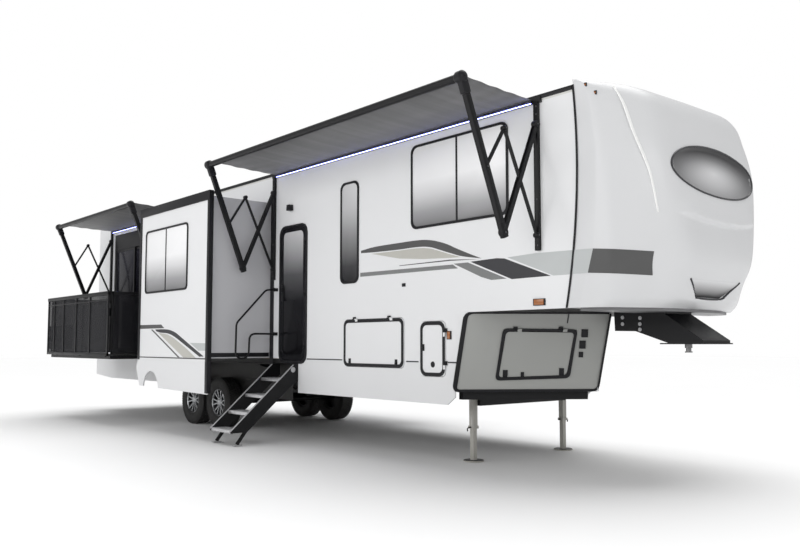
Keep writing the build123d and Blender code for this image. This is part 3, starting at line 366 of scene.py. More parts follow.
def machined_alloy():
    """Machined alloy with fine turning lines."""
    made = Finish("machined_alloy", (0.40, 0.41, 0.42), 0.26, metallic=0.9)
    lines = made.noise(1.0, 2.0, made.stretched(900.0, 4.0, 900.0))
    made.set("Roughness", lines * 0.22 + 0.14)
    return made.relief(lines, 0.06, 0.0004)


def brushed_tread():
    """Bare aluminium tread with brushed lines and scuffs."""
    made = Finish("brushed_tread", (0.62, 0.62, 0.63), 0.35, metallic=0.9)
    lines = made.noise(1.0, 3.0, made.stretched(6.0, 420.0, 420.0))
    scuffs = made.noise(28.0, 6.0)
    made.set("Base Color", made.mix(scuffs, (0.42, 0.42, 0.43), (0.78, 0.78, 0.79)))
    made.set("Roughness", lines * 0.3 + 0.22)
    return made.relief(lines, 0.15, 0.0005)


def greased_steel():
    """Forged steel with a smear of dark grease."""
    made = Finish("greased_steel", (0.30, 0.30, 0.31), 0.3, metallic=1.0)
    smear = made.noise(38.0, 5.0)
    made.set("Base Color", made.mix(smear, (0.05, 0.045, 0.04), (0.42, 0.42, 0.43)))
    made.set("Roughness", smear * 0.4 + 0.15)
    return made.relief(smear, 0.2, 0.001)


def leg_enamel():
    """Warm grey enamel with scratches down to bare metal where the tube slides."""
    made = Finish("leg_enamel", (0.42, 0.41, 0.37), 0.42)
    scratches = made.noise(1.0, 5.0, made.stretched(60.0, 60.0, 3.0))
    mask = ((scratches - 0.60) * 9.0).clamped()
    made.set("Base Color", made.mix(mask, (0.40, 0.39, 0.355), (0.62, 0.61, 0.58)))
    made.set("Metallic", mask * 0.5)
    made.set("Roughness", made.noise(12.0, 3.0) * 0.2 + 0.34)
    return made.relief(scratches, 0.1, 0.0005)


def membrane():
    """Matt roof membrane with lap seams across it and a little dust."""
    made = Finish("roof_membrane", (0.74, 0.74, 0.72), 0.8)
    dust = made.noise(1.6, 6.0)
    made.set("Base Color", made.mix(dust, (0.60, 0.60, 0.57), (0.80, 0.80, 0.78)))
    seams = (((made.axis(0) / 2.7).fraction() - 0.5).absolute() < 0.0022)
    return made.relief(made.noise(120.0, 3.0) * 0.2 - seams, 0.4, 0.002)


def decking():
    """Plywood decking with long grain on top of each floor and black sheet on the edges and underside."""
    made = Finish("decking", (0.45, 0.34, 0.22), 0.6)
    grain = made.noise(1.0, 6.0, made.stretched(1.4, 22.0, 60.0))
    wood = made.mix(grain, (0.30, 0.21, 0.12), (0.56, 0.44, 0.29))
    z = made.axis(2)
    lower = ((z - (FLOOR_TOP + GROUND)).absolute() < 0.004)
    upper = ((z - (DECK_TOP + GROUND)).absolute() < 0.004)
    made.set("Base Color", made.mix((lower + upper).clamped(), (0.012, 0.012, 0.012), wood))
    return made.relief(grain, 0.2, 0.0008)


def belly_sheet():
    """Corrugated black underbody sheet."""
    made = Finish("belly_sheet", (0.02, 0.02, 0.02), 0.6)
    ribs = (made.axis(1) * 380.0).sine()
    made.set("Base Color", made.mix(made.noise(4.0, 5.0), (0.012, 0.012, 0.012), (0.035, 0.034, 0.032)))
    return made.relief(ribs, 0.3, 0.002)


def lens(name, colour):
    """Ribbed lamp lens."""
    made = Finish(name, colour, 0.18, coat=0.7)
    ribs = (made.axis(0) * 900.0).sine()
    made.set("Base Color", made.mix(made.noise(60.0, 2.0), shade(colour, 0.7), shade(colour, 1.2)))
    return made.relief(ribs, 0.25, 0.0006)


def film(name, colour):
    """Vinyl graphic film: even tone with a slight sheen."""
    made = Finish(name, colour, 0.4, coat=0.1, coat_roughness=0.25, specular_ior_level=0.3)
    made.set("Base Color", made.mix(made.noise(3.0, 3.0), shade(colour, 0.92), shade(colour, 1.08)))
    return made.relief(made.noise(300.0, 1.0), 0.05, 0.0004)


def mesh_screen():
    """Black woven screen that shows what is behind it."""
    made = Finish("patio_screen", (0.010, 0.010, 0.012), 0.6, specular_ior_level=0.2)
    made.set("Base Color", made.mix(made.noise(6.0, 3.0), (0.008, 0.008, 0.010), (0.02, 0.02, 0.024)))
    made.set("Alpha", made.noise(1.2, 2.0) * 0.16 + 0.62)
    return made


def light_strip():
    """Lit diode strip."""
    made = Finish("light_strip", (0.75, 0.78, 1.0), 0.4)
    dots = (made.axis(0) * 210.0).sine() * 0.5 + 0.5
    made.set("Emission Color", made.mix(dots, (0.16, 0.18, 0.9), (0.40, 0.44, 1.0)))
    made.set("Emission Strength", 9.0)
    return made


def stage_floor():
    """Plain pale floor."""
    made = Finish("stage_floor", (0.88, 0.88, 0.88), 0.8, specular_ior_level=0.1)
    made.set("Base Color", made.mix(made.noise(0.6, 3.0), (0.87, 0.87, 0.87), (0.89, 0.89, 0.89)))
    return made


WHITE = (0.80, 0.805, 0.815)
# Shades of graded finishes from foot to top: for each glass a dark tint under a painted reflection towards
# its top, for the oval and the scoop painted shade
WINDOW_TINT_AND_PAINTED_REFLECTION = (
    (0.0, (0.20, 0.20, 0.205)), (0.18, (0.36, 0.36, 0.37)), (0.38, (0.68, 0.68, 0.69)),
    (0.56, (0.90, 0.90, 0.91)), (1.0, (0.94, 0.94, 0.95)))
NARROW_TINT_AND_PAINTED_REFLECTION = (
    (0.0, (0.015, 0.015, 0.017)), (0.15, (0.05, 0.05, 0.053)), (0.45, (0.26, 0.26, 0.265)),
    (0.75, (0.55, 0.55, 0.56)), (1.0, (0.72, 0.72, 0.73)))
DOOR_TINT_AND_PAINTED_REFLECTION = (
    (0.0, (0.004, 0.004, 0.005)), (0.45, (0.010, 0.010, 0.012)), (0.65, (0.09, 0.09, 0.095)),
    (0.85, (0.38, 0.38, 0.39)), (1.0, (0.60, 0.60, 0.61)))
PATIO_TINT_AND_PAINTED_REFLECTION = ((0.0, (0.004, 0.004, 0.006)), (0.6, (0.008, 0.008, 0.012)), (1.0, (0.03, 0.03, 0.04)))
OVAL_PAINTED_SHADE = (
    (0.0, (0.012, 0.012, 0.013)), (0.14, (0.05, 0.05, 0.052)), (0.34, (0.20, 0.20, 0.205)),
    (0.62, (0.52, 0.52, 0.53)), (1.0, (0.86, 0.86, 0.87)))
SCOOP_PAINTED_SHADE = (
    (0.0, (0.03, 0.03, 0.032)), (0.20, (0.12, 0.12, 0.122)), (0.55, (0.38, 0.38, 0.385)),
    (1.0, (0.70, 0.705, 0.715)))
# Finishes: the function that makes each of them and what it is called with
FINISH_MAKERS = {
    "white_gelcoat": (body_gelcoat,),
    # Painted shade: the cap's white gelcoat as a darker copy of the walls' gelcoat
    "cap_gelcoat": (gelcoat, "cap_gelcoat", (0.66, 0.665, 0.675)),
    "grey_gelcoat": (gelcoat, "grey_gelcoat", (0.36, 0.365, 0.35)),
    # Painted shade: the slide-outs' white end walls as a darker copy of the gelcoat
    "end_wall": (gelcoat, "end_wall", (0.56, 0.56, 0.58)),
    "skirt_paint": (gelcoat, "skirt_paint", (0.76, 0.765, 0.775)),
    # Painted highlight: a lighter copy of the cap's gelcoat for its ribs
    "bright_gelcoat": (gelcoat, "bright_gelcoat", (0.93, 0.93, 0.92)),
    "black_steel": (painted_metal, "black_steel", (0.007, 0.007, 0.008)),
    "black_aluminium": (painted_metal, "black_aluminium", (0.009, 0.009, 0.010), 0.36, 700.0),
    "edge_aluminium": (painted_metal, "edge_aluminium", (0.09, 0.09, 0.095), 0.3, 700.0),
    "pocket_paint": (painted_metal, "pocket_paint", (0.02, 0.02, 0.022), 0.4, 500.0),
    "bright_edge": (painted_metal, "bright_edge", (0.42, 0.42, 0.43), 0.3, 700.0),
    "dark_chrome": (painted_metal, "dark_chrome", (0.05, 0.05, 0.054), 0.2, 300.0),
    "black_trim": (moulding, "black_trim", (0.012, 0.012, 0.014)),
    "grey_trim": (moulding, "grey_trim", (0.05, 0.05, 0.052), 0.45),
    "door_skin": (moulding, "door_skin", (0.006, 0.006, 0.008), 0.25),
    "roof_plastic": (moulding, "roof_plastic", (0.62, 0.62, 0.60), 0.55),
    "valance": (moulding, "valance", (0.16, 0.16, 0.165), 0.5),
    "window_glass": (graded_glass, "tinted_glass", WINDOW_TINT_AND_PAINTED_REFLECTION),
    "narrow_glass": (graded_glass, "tinted_narrow_glass", NARROW_TINT_AND_PAINTED_REFLECTION, 0.14, 0.25),
    "door_glass": (graded_glass, "tinted_door_glass", DOOR_TINT_AND_PAINTED_REFLECTION, 0.14, 0.12),
    "dark_glass": (graded_glass, "dark_patio_glass", PATIO_TINT_AND_PAINTED_REFLECTION, 0.14, 0.10),
    "oval_plate": (graded_glass, "oval_plate", OVAL_PAINTED_SHADE, 0.3),
    "scoop_floor": (graded_glass, "scoop_floor", SCOOP_PAINTED_SHADE, 0.35),
    "awning_cloth": (awning_cloth,),
    "rubber": (rubber,),
    "machined_alloy": (machined_alloy,),
    "brushed_tread": (brushed_tread,),
    "greased_steel": (greased_steel,),
    "leg_enamel": (leg_enamel,),
    "membrane": (membrane,),
    "decking": (decking,),
    "belly_sheet": (belly_sheet,),
    "amber_lens": (lens, "amber_lens", (0.36, 0.11, 0.015)),
    "red_lens": (lens, "red_lens", (0.45, 0.01, 0.01)),
    "film_black": (film, "film_black", (0.035, 0.035, 0.04)),
    "film_charcoal": (film, "film_charcoal", (0.085, 0.085, 0.085)),
    "film_grey": (film, "film_grey", (0.20, 0.205, 0.205)),
    "film_light": (film, "film_light", (0.50, 0.52, 0.52)),
    "film_sand": (film, "film_sand", (0.50, 0.49, 0.45)),
    "mesh_screen": (mesh_screen,),
    "light_strip": (light_strip,),
    "stage_floor": (stage_floor,),
}


def dress(finish_name, *nodes):
    """Give carried-over frame nodes their finish."""
    for node in nodes:
        for slot in frame["nodes"][node].material_slots:
            slot.material = finish(finish_name)


def rounded_outline(x0, x1, z0, z1, radius, steps=6):
    """Outline of a rectangle with rounded corners, anticlockwise."""
    outline = []
    for cx, cz, start in ((x1 - radius, z0 + radius, -90), (x1 - radius, z1 - radius, 0),
                          (x0 + radius, z1 - radius, 90), (x0 + radius, z0 + radius, 180)):
        for step in range(steps + 1):
            angle = math.radians(start + 90 * step / steps)
            outline.append((cx + radius * math.cos(angle), cz + radius * math.sin(angle)))
    return outline
def inset_outline(opening, inset, radius):
    """Rounded outline of an opening, moved in on all sides."""
    x0, x1, z0, z1, _ = opening
    return rounded_outline(x0 + inset, x1 - inset, z0 + inset, z1 - inset, radius)

def arc(a, b, c, steps):
    """Points on the circle arc from a over b to c."""
    (ax, ay), (bx, by), (cx, cy) = a, b, c
    twice = 2 * (ax * (by - cy) + bx * (cy - ay) + cx * (ay - by))
    la, lb, lc = ax * ax + ay * ay, bx * bx + by * by, cx * cx + cy * cy
    mx = (la * (by - cy) + lb * (cy - ay) + lc * (ay - by)) / twice
    my = (la * (cx - bx) + lb * (ax - cx) + lc * (bx - ax)) / twice
    radius = math.hypot(ax - mx, ay - my)
    start, middle, end = [math.atan2(y - my, x - mx) for x, y in (a, b, c)]
    turn = (end - start) % math.tau
    if (middle - start) % math.tau > turn:
        turn -= math.tau
    angles = [start + turn * step / steps for step in range(steps + 1)]
    return [(mx + radius * math.cos(angle), my + radius * math.sin(angle)) for angle in angles]


def read_line(line, place):
    """The other columns of a line of rows, at a place in its first column."""
    for low, high in zip(line, line[1:]):
        if place <= high[0]:
            break
    share = (place - low[0]) / (high[0] - low[0])
    return [a + (b - a) * share for a, b in zip(low[1:], high[1:])]


def smoothstep(low, high, value):
    """Soft step from nought at low to one at high."""
    t = min(max((value - low) / (high - low), 0.0), 1.0)
    return t * t * (3 - 2 * t)


def smooth_line(points, steps=6):
    """Points on a smooth curve through the given ones."""
    line = []
    ends = [points[0]] + list(points) + [points[-1]]
    for before, start, end, after in zip(ends, ends[1:], ends[2:], ends[3:]):
        for step in range(steps):
            t = step / steps
            line.append(tuple(
                0.5 * (2 * q + (r - p) * t + (2 * p - 5 * q + 4 * r - s) * t ** 2
                       + (3 * q - p - 3 * r + s) * t ** 3)
                for p, q, r, s in zip(before, start, end, after)))
    line.append(tuple(points[-1]))
    return line


def bend(before, here, after, radius, steps):
    """Points round the corner at here, between the lines to before and after."""
    first = here + (before - here).normalized() * radius
    last = here + (after - here).normalized() * radius
    shares = [step / steps for step in range(steps + 1)]
    return [first * (1 - t) ** 2 + here * 2 * t * (1 - t) + last * t * t for t in shares]


def grid_faces(rows, columns):
    """Faces of a grid of points that are listed row after row."""
    return [(n, n + 1, n + columns + 2, n + columns + 1) for row in range(rows)
            for n in range(row * (columns + 1), row * (columns + 1) + columns)]


# Where a point of an outline goes, with its distance along each axis
PLACES = {
    "x": lambda point, along: (along, point[0], point[1]),
    "y": lambda point, along: (point[0], along, point[1]),
    "z": lambda point, along: (point[0], point[1], along),
}


class Shape:
    """Mesh that grows piece by piece and ends as one object."""

    def __init__(self):
        self.bm = bmesh.new()

    def add(self, points, faces):
        """Add points with their faces."""
        made = [self.bm.verts.new(point) for point in points]
        for face in faces:
            self.bm.faces.new([made[number] for number in face])
        return made

    def soften(self, edges, rounding):
        """Round some edges off."""
        bmesh.ops.bevel(self.bm, geom=edges, offset=rounding, segments=2, profile=0.6, affect="EDGES")

    def box(self, one, other, rounding=0.0):
        """Box between two opposite corners, with rounded edges where asked."""
        (x0, x1), (y0, y1), (z0, z1) = [sorted(pair) for pair in zip(one, other)]
        corners = [(x, y, z) for z in (z0, z1) for y in (y0, y1) for x in (x0, x1)]
        faces = ((0, 2, 3, 1), (4, 5, 7, 6), (0, 1, 5, 4), (2, 6, 7, 3), (0, 4, 6, 2), (1, 3, 7, 5))
        made = self.add(corners, faces)
        if rounding:
            self.soften(list({edge for vert in made for edge in vert.link_edges}), rounding)
        return self

    def side_box(self, side, x, y, z, rounding=0.0):
        """Box on one side of the trailer: its ends along it, outward and in height above the ground."""
        return self.box(up(x[0], side * y[0], z[0]), up(x[1], side * y[1], z[1]), rounding)

    def prism(self, outline, axis, start, end, rounding=0.0):
        """Outline drawn out along an axis from start to end."""
        place = PLACES[axis]
        count = len(outline)
        points = [place(point, start) for point in outline] + [place(point, end) for point in outline]
        faces = [list(range(count))[::-1], list(range(count, 2 * count))]
        faces += [(n, (n + 1) % count, count + (n + 1) % count, count + n) for n in range(count)]
        made = self.add(points, faces)
        if rounding:
            caps = {made[n] for n in range(count, 2 * count)}
            edges = [edge for edge in self.bm.edges if edge.verts[0] in caps and edge.verts[1] in caps]
            self.soften(edges, rounding)
        return self

    def ring(self, outer, inner, axis, start, end):
        """Ring between two outlines of equal count, drawn out along an axis."""
        place = PLACES[axis]
        count = len(outer)
        points = [place(p, d) for d in (start, end) for line in (outer, inner) for p in line]
        faces = []
        for n in range(count):
            m = (n + 1) % count
            faces.append((n, m, 2 * count + m, 2 * count + n))
            faces.append((count + n, 3 * count + n, 3 * count + m, count + m))
            faces.append((n, count + n, count + m, m))
            faces.append((2 * count + n, 2 * count + m, 3 * count + m, 3 * count + n))
        self.add(points, faces)
        return self

    def lathe(self, profile, sides, centre, axis="y"):
        """Closed profile of (radius, along) points turned round an axis through a centre."""
        place = PLACES[axis]
        centre = Vector(centre)
        count = len(profile)
        points, faces = [], []
        for side in range(sides):
            angle = math.tau * side / sides
            cosine, sine = math.cos(angle), math.sin(angle)
            points += [centre + Vector(place((r * cosine, r * sine), d)) for r, d in profile]
            other = (side + 1) % sides
            for n in range(count):
                m = (n + 1) % count
                faces.append((side * count + n, side * count + m, other * count + m, other * count + n))
        self.add(points, faces)
        return self

    def sweep(self, points, radius, sides=10, closed=False, flat=1.0, rise=None):
        """Round bar along a line of points, flattened where asked."""
        line = [Vector(point) for point in points]
        count = len(line)
        rings = []
        normal = None
        for number, point in enumerate(line):
            before = line[number - 1] if closed or number else point
            after = line[(number + 1) % count] if closed or number < count - 1 else point
            along = (after - before).normalized()
            if normal is None:
                upward = abs(along.z) < 0.9
                normal = Vector(rise or ((0, 0, 1) if upward else (1, 0, 0)))
            normal = (normal - along * normal.dot(along)).normalized()
            side = along.cross(normal)
            rings.append([point + radius * (math.cos(a) * normal * flat + math.sin(a) * side)
                          for a in (2 * math.pi * n / sides for n in range(sides))])
        made = [point for one in rings for point in one]
        faces = []
        for ring in range(count if closed else count - 1):
            other = (ring + 1) % count
            for n in range(sides):
                m = (n + 1) % sides
                faces.append((ring * sides + n, ring * sides + m, other * sides + m, other * sides + n))
        if not closed:
            faces.append(tuple(range(sides))[::-1])
            faces.append(tuple((count - 1) * sides + n for n in range(sides)))
        self.add(made, faces)
        return self

    def beam(self, start, end, width, depth, rise=(1, 0, 0), rounding=0.0):
        """Flat bar between two points: width along rise, depth across."""
        start, end = Vector(start), Vector(end)
        along = (end - start).normalized()
        across = (Vector(rise) - along * along.dot(Vector(rise))).normalized()
        third = along.cross(across)
        points = []
        for end_point in (start, end):
            for a, b in ((-1, -1), (1, -1), (1, 1), (-1, 1)):
                points.append(end_point + across * a * width / 2 + third * b * depth / 2)
        faces = ((0, 3, 2, 1), (4, 5, 6, 7), (0, 1, 5, 4), (1, 2, 6, 5), (2, 3, 7, 6), (3, 0, 4, 7))
        made = self.add(points, faces)
        if rounding:
            self.soften(list({edge for vert in made for edge in vert.link_edges}), rounding)
        return self
    def moved(self, matrix):
        """Turn and move everything so far."""
        bmesh.ops.transform(self.bm, matrix=matrix, verts=self.bm.verts[:])
        return self

    def piece(self, name, finish_name, body="trailer", slot="black_trim", smooth=True, outward=True):
        """Finish the mesh as one object that rides on a body."""
        if outward:
            bmesh.ops.recalc_face_normals(self.bm, faces=self.bm.faces[:])
        mesh = bpy.data.meshes.new(name)
        self.bm.to_mesh(mesh)
        self.bm.free()
        return placed(name, mesh, finish_name, body, smooth)


def placed(name, mesh, finish_name, body, smooth=True):
    """Put a mesh in the scene as a piece of a body."""
    mesh.materials.clear()
    mesh.materials.append(finish(finish_name))
    made = bpy.data.objects.new(name, mesh)
    bpy.context.scene.collection.objects.link(made)
    if smooth:
        mesh.polygons.foreach_set("use_smooth", [True] * len(mesh.polygons))
        mesh.set_sharp_from_angle(angle=math.radians(35))
    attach(made, body)
    return made


def set_rise(made, values):
    """Give each point of a piece the rise that graded glass reads."""
    layers = made.data.attributes
    layer = layers.get("rise") or layers.new("rise", "FLOAT", "POINT")
    layer.data.foreach_set("value", values)


def rise_by_height(made, low, tall):
    """Rise of a piece from nought at a height above the ground to one at its top."""
    set_rise(made, [(vert.co.z - GROUND - low) / tall for vert in made.data.vertices])


class Tree:
    """A Geometry Nodes tree built in code, with named inputs."""

    def __init__(self, name, inputs):
        self.tree = bpy.data.node_groups.new(name, "GeometryNodeTree")
        sockets = self.tree.interface
        sockets.new_socket("Geometry", in_out="INPUT", socket_type="NodeSocketGeometry")
        sockets.new_socket("Geometry", in_out="OUTPUT", socket_type="NodeSocketGeometry")
        self.keys = {}
        for label, (kind, value) in inputs.items():
            socket = sockets.new_socket(label, in_out="INPUT", socket_type="NodeSocket" + kind)
            if value is not None:
                socket.default_value = value
            self.keys[label] = socket.identifier
        self.source = self.tree.nodes.new("NodeGroupInput")
        self.sink = self.tree.nodes.new("NodeGroupOutput")

    def node(self, kind, inputs, **settings):
        """Add a node, its settings first, and link or set its inputs."""
        node = self.tree.nodes.new(kind)
        for name, value in settings.items():
            setattr(node, name, value)
        for name, value in inputs.items():
            target = node.inputs[name]
            if hasattr(value, "is_output"):
                self.tree.links.new(value, target)
            else:
                target.default_value = value
        return node

    def end(self, socket):
        """Realize the instances, set the material and close the tree."""
        real = self.node("GeometryNodeRealizeInstances", {"Geometry": socket})
        painted = self.node("GeometryNodeSetMaterial", {"Geometry": real.outputs[0],
                                                        "Material": self.source.outputs["Material"]})
        self.tree.links.new(painted.outputs[0], self.sink.inputs[0])
        return self

    def grow(self, name, points, edges, values, finish_name, body, slot, turns=None, smooth=True):
        """Run the tree on points and give back the plain mesh it makes as a piece."""
        seed = bpy.data.meshes.new(name + "_seed")
        seed.from_pydata([tuple(point) for point in points], edges, [])
        if turns is not None:
            layer = seed.attributes.new("turn", "FLOAT_VECTOR", "POINT")
            layer.data.foreach_set("vector", [part for turn in turns for part in turn])
        host = bpy.data.objects.new(name + "_seed", seed)
        bpy.context.scene.collection.objects.link(host)
        modifier = host.modifiers.new("grow", "NODES")
        modifier.node_group = self.tree
        for label, value in values.items():
            modifier[self.keys[label]] = value
        modifier[self.keys["Material"]] = finish(finish_name)
        host.update_tag()
        graph = bpy.context.evaluated_depsgraph_get()
        mesh = bpy.data.meshes.new_from_object(host.evaluated_get(graph))
        bpy.data.objects.remove(host)
        mesh.name = name
        return placed(name, mesh, finish_name, body, smooth)


def on_points(tree, head):
    """End a tree with a mesh on each point, turned by the point's own turn."""
    turn = tree.node("GeometryNodeInputNamedAttribute", {"Name": "turn"}, data_type="FLOAT_VECTOR")
    spread = tree.node("GeometryNodeInstanceOnPoints", {
        "Points": tree.source.outputs["Geometry"], "Instance": head.outputs["Mesh"],
        "Rotation": turn.outputs["Attribute"]})
    return tree.end(spread.outputs[0])


def stud_tree():
    """Low round heads on points."""
    tree = Tree("studs_on_points", {
        "Radius": ("Float", 0.006), "Height": ("Float", 0.004), "Sides": ("Int", 10),
        "Material": ("Material", None)})
    head = tree.node("GeometryNodeMeshCylinder", {
        "Radius": tree.source.outputs["Radius"], "Depth": tree.source.outputs["Height"],
        "Vertices": tree.source.outputs["Sides"]})
    return on_points(tree, head)


def block_tree():
    """Small blocks on points."""
    tree = Tree("blocks_on_points", {"Size": ("Vector", (0.01, 0.01, 0.01)), "Material": ("Material", None)})
    return on_points(tree, tree.node("GeometryNodeMeshCube", {"Size": tree.source.outputs["Size"]}))


def gasket_tree():
    """Round bead along a path of edges."""
    tree = Tree("bead_along_path", {
        "Radius": ("Float", 0.008), "Sides": ("Int", 8), "Material": ("Material", None)})
    line = tree.node("GeometryNodeMeshToCurve", {"Mesh": tree.source.outputs["Geometry"]})
    ring = tree.node("GeometryNodeCurvePrimitiveCircle", {
        "Radius": tree.source.outputs["Radius"], "Resolution": tree.source.outputs["Sides"]})
    tube = tree.node("GeometryNodeCurveToMesh", {
        "Curve": line.outputs[0], "Profile Curve": ring.outputs[0], "Fill Caps": True})
    return tree.end(tube.outputs[0])


TREES = {}


def tree(name):
    """One of the Geometry Nodes trees, made at its first use."""
    if name not in TREES:
        TREES[name] = {"studs": stud_tree, "blocks": block_tree, "bead": gasket_tree}[name]()
    return TREES[name]


def studs(name, points, turn, radius, height, finish_name, body="trailer", slot="black_trim", sides=10):
    """Like round heads, all turned alike."""
    values = {"Radius": radius, "Height": height, "Sides": sides}
    return tree("studs").grow(name, points, [], values, finish_name, body, slot, [turn] * len(points))


def blocks(name, points, size, finish_name, body="trailer", slot="black_trim", turns=None):
    """Like small blocks."""
    turns = turns if turns is not None else [(0, 0, 0)] * len(points)
    return tree("blocks").grow(name, points, [], {"Size": size}, finish_name, body, slot, turns, smooth=False)


def bead(name, points, radius, finish_name, body="trailer", slot="black_trim", closed=False, sides=8):
    """Round bead along a path."""
    edges = [(n, n + 1) for n in range(len(points) - 1)]
    if closed:
        edges.append((len(points) - 1, 0))
    values = {"Radius": radius, "Sides": sides}
    return tree("bead").grow(name, points, edges, values, finish_name, body, slot)


SIDEWAYS = (math.pi / 2, 0, 0)
LENGTHWAYS = (0, math.pi / 2, 0)


class TrailerSizes(bpy.types.PropertyGroup):
    """Sizes that a user would change."""

    hatch_trim: FloatProperty(name="Hatch trim", description="Width of the black trim round each hatch",
                              default=0.042, min=0.01, max=0.06, unit="LENGTH")
    belt_line: FloatProperty(name="Belt line", description="Height of the dark line above the skirt",
                             default=0.014, min=0.004, max=0.04, unit="LENGTH")
    gutter: FloatProperty(name="Roof edge", description="Height of the dark rail along the roof's edge",
                          default=0.038, min=0.02, max=0.12, unit="LENGTH")
    awning_sag: FloatProperty(name="Awning sag", description="How far the middle of the cloth hangs",
                              default=0.018, min=0.0, max=0.08, unit="LENGTH")
    tread_depth: FloatProperty(name="Tread depth", description="Depth of the tyre tread",
                               default=0.009, min=0.002, max=0.02, unit="LENGTH")
    lens_height: FloatProperty(name="Lens", description="Camera lens of the stage view",
                               default=37.33, min=18.0, max=120.0)


class TrailerColours(bpy.types.PropertyGroup):
    """Colours that a user would change."""

    body: FloatVectorProperty(name="Body", description="Gelcoat of the body", subtype="COLOR", default=WHITE)
    sky: FloatVectorProperty(name="Studio light", description="Colour of the studio's light", subtype="COLOR",
                             default=(1.0, 1.0, 1.0))


def sizes():
    """The scene's size settings."""
    return bpy.context.scene.trailer_sizes


def bow_frame():
    """Origin, along, up and out of the curb side bow panel."""
    origin = up(*BOW_CORNER)
    along = Vector(BOW_FOOT).normalized()
    out = along.cross(Vector(BOW_REAR)).normalized()
    return origin, along, out.cross(along).normalized(), out


def on_bow(u, v, w=0.0):
    """Point on the curb side bow panel: along it, up it and out of it."""
    origin, along, rise, out = bow_frame()
    return origin + along * u + rise * v + out * w


def bow_matrix():
    """Matrix that takes (along, out, up) drawings onto the bow panel."""
    origin, along, rise, out = bow_frame()
    return Matrix((
        (along.x, -out.x, rise.x, origin.x),
        (along.y, -out.y, rise.y, origin.y),
        (along.z, -out.z, rise.z, origin.z),
        (0, 0, 0, 1)))


def raised(outline):
    """Lift an outline's heights from the ground into the frame."""
    return [(x, z + GROUND) for x, z in outline]


def decal(name, outline, side, finish_name, wall=HALF, body="trailer", slot="white_wall"):
    """Thin film on a side wall."""
    shape = Shape()
    shape.prism(raised(outline), "y", side * (wall + 0.0002), side * (wall + 0.0012))
    return shape.piece(name, finish_name, body, slot, smooth=False)


class BuildWalls(bpy.types.Operator):
    """Skins of the body, their graphics, seams and edge rails"""

    bl_idname = "trailer.walls"
    bl_label = "Walls and graphics"

    def execute(self, context):
        dress("white_gelcoat", "wall_curb", "wall_road", "wall_rear")
        dress("skirt_paint", "skirt_curb", "skirt_road", "curb_slide_skirt")
        dress("membrane", "roof")
        dress("decking", "floor_lower", "floor_upper")
        dress("belly_sheet", "belly_pan")
        top = smooth_line([
            (-3.709, 2.455), (-3.424, 2.480), (-2.971, 2.485), (-2.744, 2.486), (-2.551, 2.480),
            (-2.389, 2.458), (-2.234, 2.419), (-2.113, 2.378), (-2.039, 2.346), (-1.816, 2.261),
            (-1.632, 2.196)])
        low = smooth_line([
            (-1.632, 2.196), (-1.927, 2.243), (-2.113, 2.294), (-2.287, 2.345), (-2.416, 2.382),
            (-2.551, 2.402), (-2.744, 2.408), (-2.971, 2.406), (-3.423, 2.414), (-3.709, 2.425)])
        sand = [
            (-3.500, 2.400), (-2.971, 2.394), (-2.744, 2.396), (-2.551, 2.388), (-2.416, 2.368),
            (-2.287, 2.331), (-2.113, 2.280), (-1.950, 2.236), (-2.114, 2.240), (-2.556, 2.262),
            (-2.971, 2.300)]
        line = [(-2.971, 2.212), (-2.114, 2.207), (-1.660, 2.190), (-2.114, 2.221), (-2.971, 2.219)]
        grey = [(-3.723, 2.132), (-2.115, 2.119), (-1.990, 2.116), (-2.070, 2.164), (-3.723, 2.181)]
        slant = [(-2.060, 2.172), (-1.838, 2.169), (-1.283, 1.963), (-1.497, 1.961), (-1.644, 2.002)]
        black = [(-1.800, 2.174), (-1.422, 2.182), (-1.310, 2.170), (-0.713, 1.956), (-1.214, 1.953)]
        light = [(-1.270, 2.178), (-0.902, 2.190), (-0.435, 2.181), (-0.455, 1.954), (-0.680, 1.956)]
        for side, where in SIDES:
            for name, outline, colour in (
                ("swoosh_top", top + low, "film_charcoal"),
                ("swoosh_sand", sand, "film_sand"),
                ("swoosh_line", line, "film_charcoal"),
                ("swoosh_grey", grey, "film_grey"),
                ("swoosh_slant", slant, "film_grey"),
                ("swoosh_black", black, "film_black"),
                ("swoosh_light", light, "film_light"),
            ):
                decal(name + "_" + where, outline, side, colour)
            self.edges(side, where)
        shape = Shape()
        shape.box(up(REAR - 0.008, -HALF - 0.012, ROOF_REAR - sizes().gutter),
                  up(REAR + 0.02, HALF + 0.012, ROOF_REAR + 0.004), 0.003)
        shape.piece("roof_rail_rear", "grey_trim")
        return {"FINISHED"}

    def edges(self, side, where):
        """Roof rail, joint strip and belt lines of one side."""
        gutter = sizes().gutter
        belt = sizes().belt_line
        rail = [(REAR - 0.008, ROOF_REAR - gutter), (-0.420, roof_line(-0.42) - gutter),
                (-0.425, roof_line(-0.42) + 0.004), (REAR - 0.008, ROOF_REAR + 0.004)]
        Shape().prism(raised(rail), "y", side * HALF, side * (HALF + 0.014), 0.003).piece(
            "roof_rail_" + where, "black_trim")
        seam = [(x, z) for z, x in arc(*JOINT, 60) if z < ROOF_FRONT + 0.02]
        strip = [(x - 0.010, z) for x, z in seam] + [(x + 0.008, z) for x, z in reversed(seam)]
        Shape().prism(raised(strip), "y", side * HALF, side * (HALF + 0.009), 0.002).piece(
            "joint_strip_" + where, "black_trim")
        if side < 0:
            runs = ((-4.886, -4.092), (-2.846, -2.636), (-2.150, -1.985))
        else:
            runs = ((-12.515, -9.320), (-5.680, -1.985))
        shape = Shape()
        for run in runs:
            shape.side_box(side, run, (HALF, HALF + 0.005), (FLOOR_TOP - belt / 2, FLOOR_TOP + belt / 2))
        shape.piece("belt_line_" + where, "grey_trim", smooth=False)


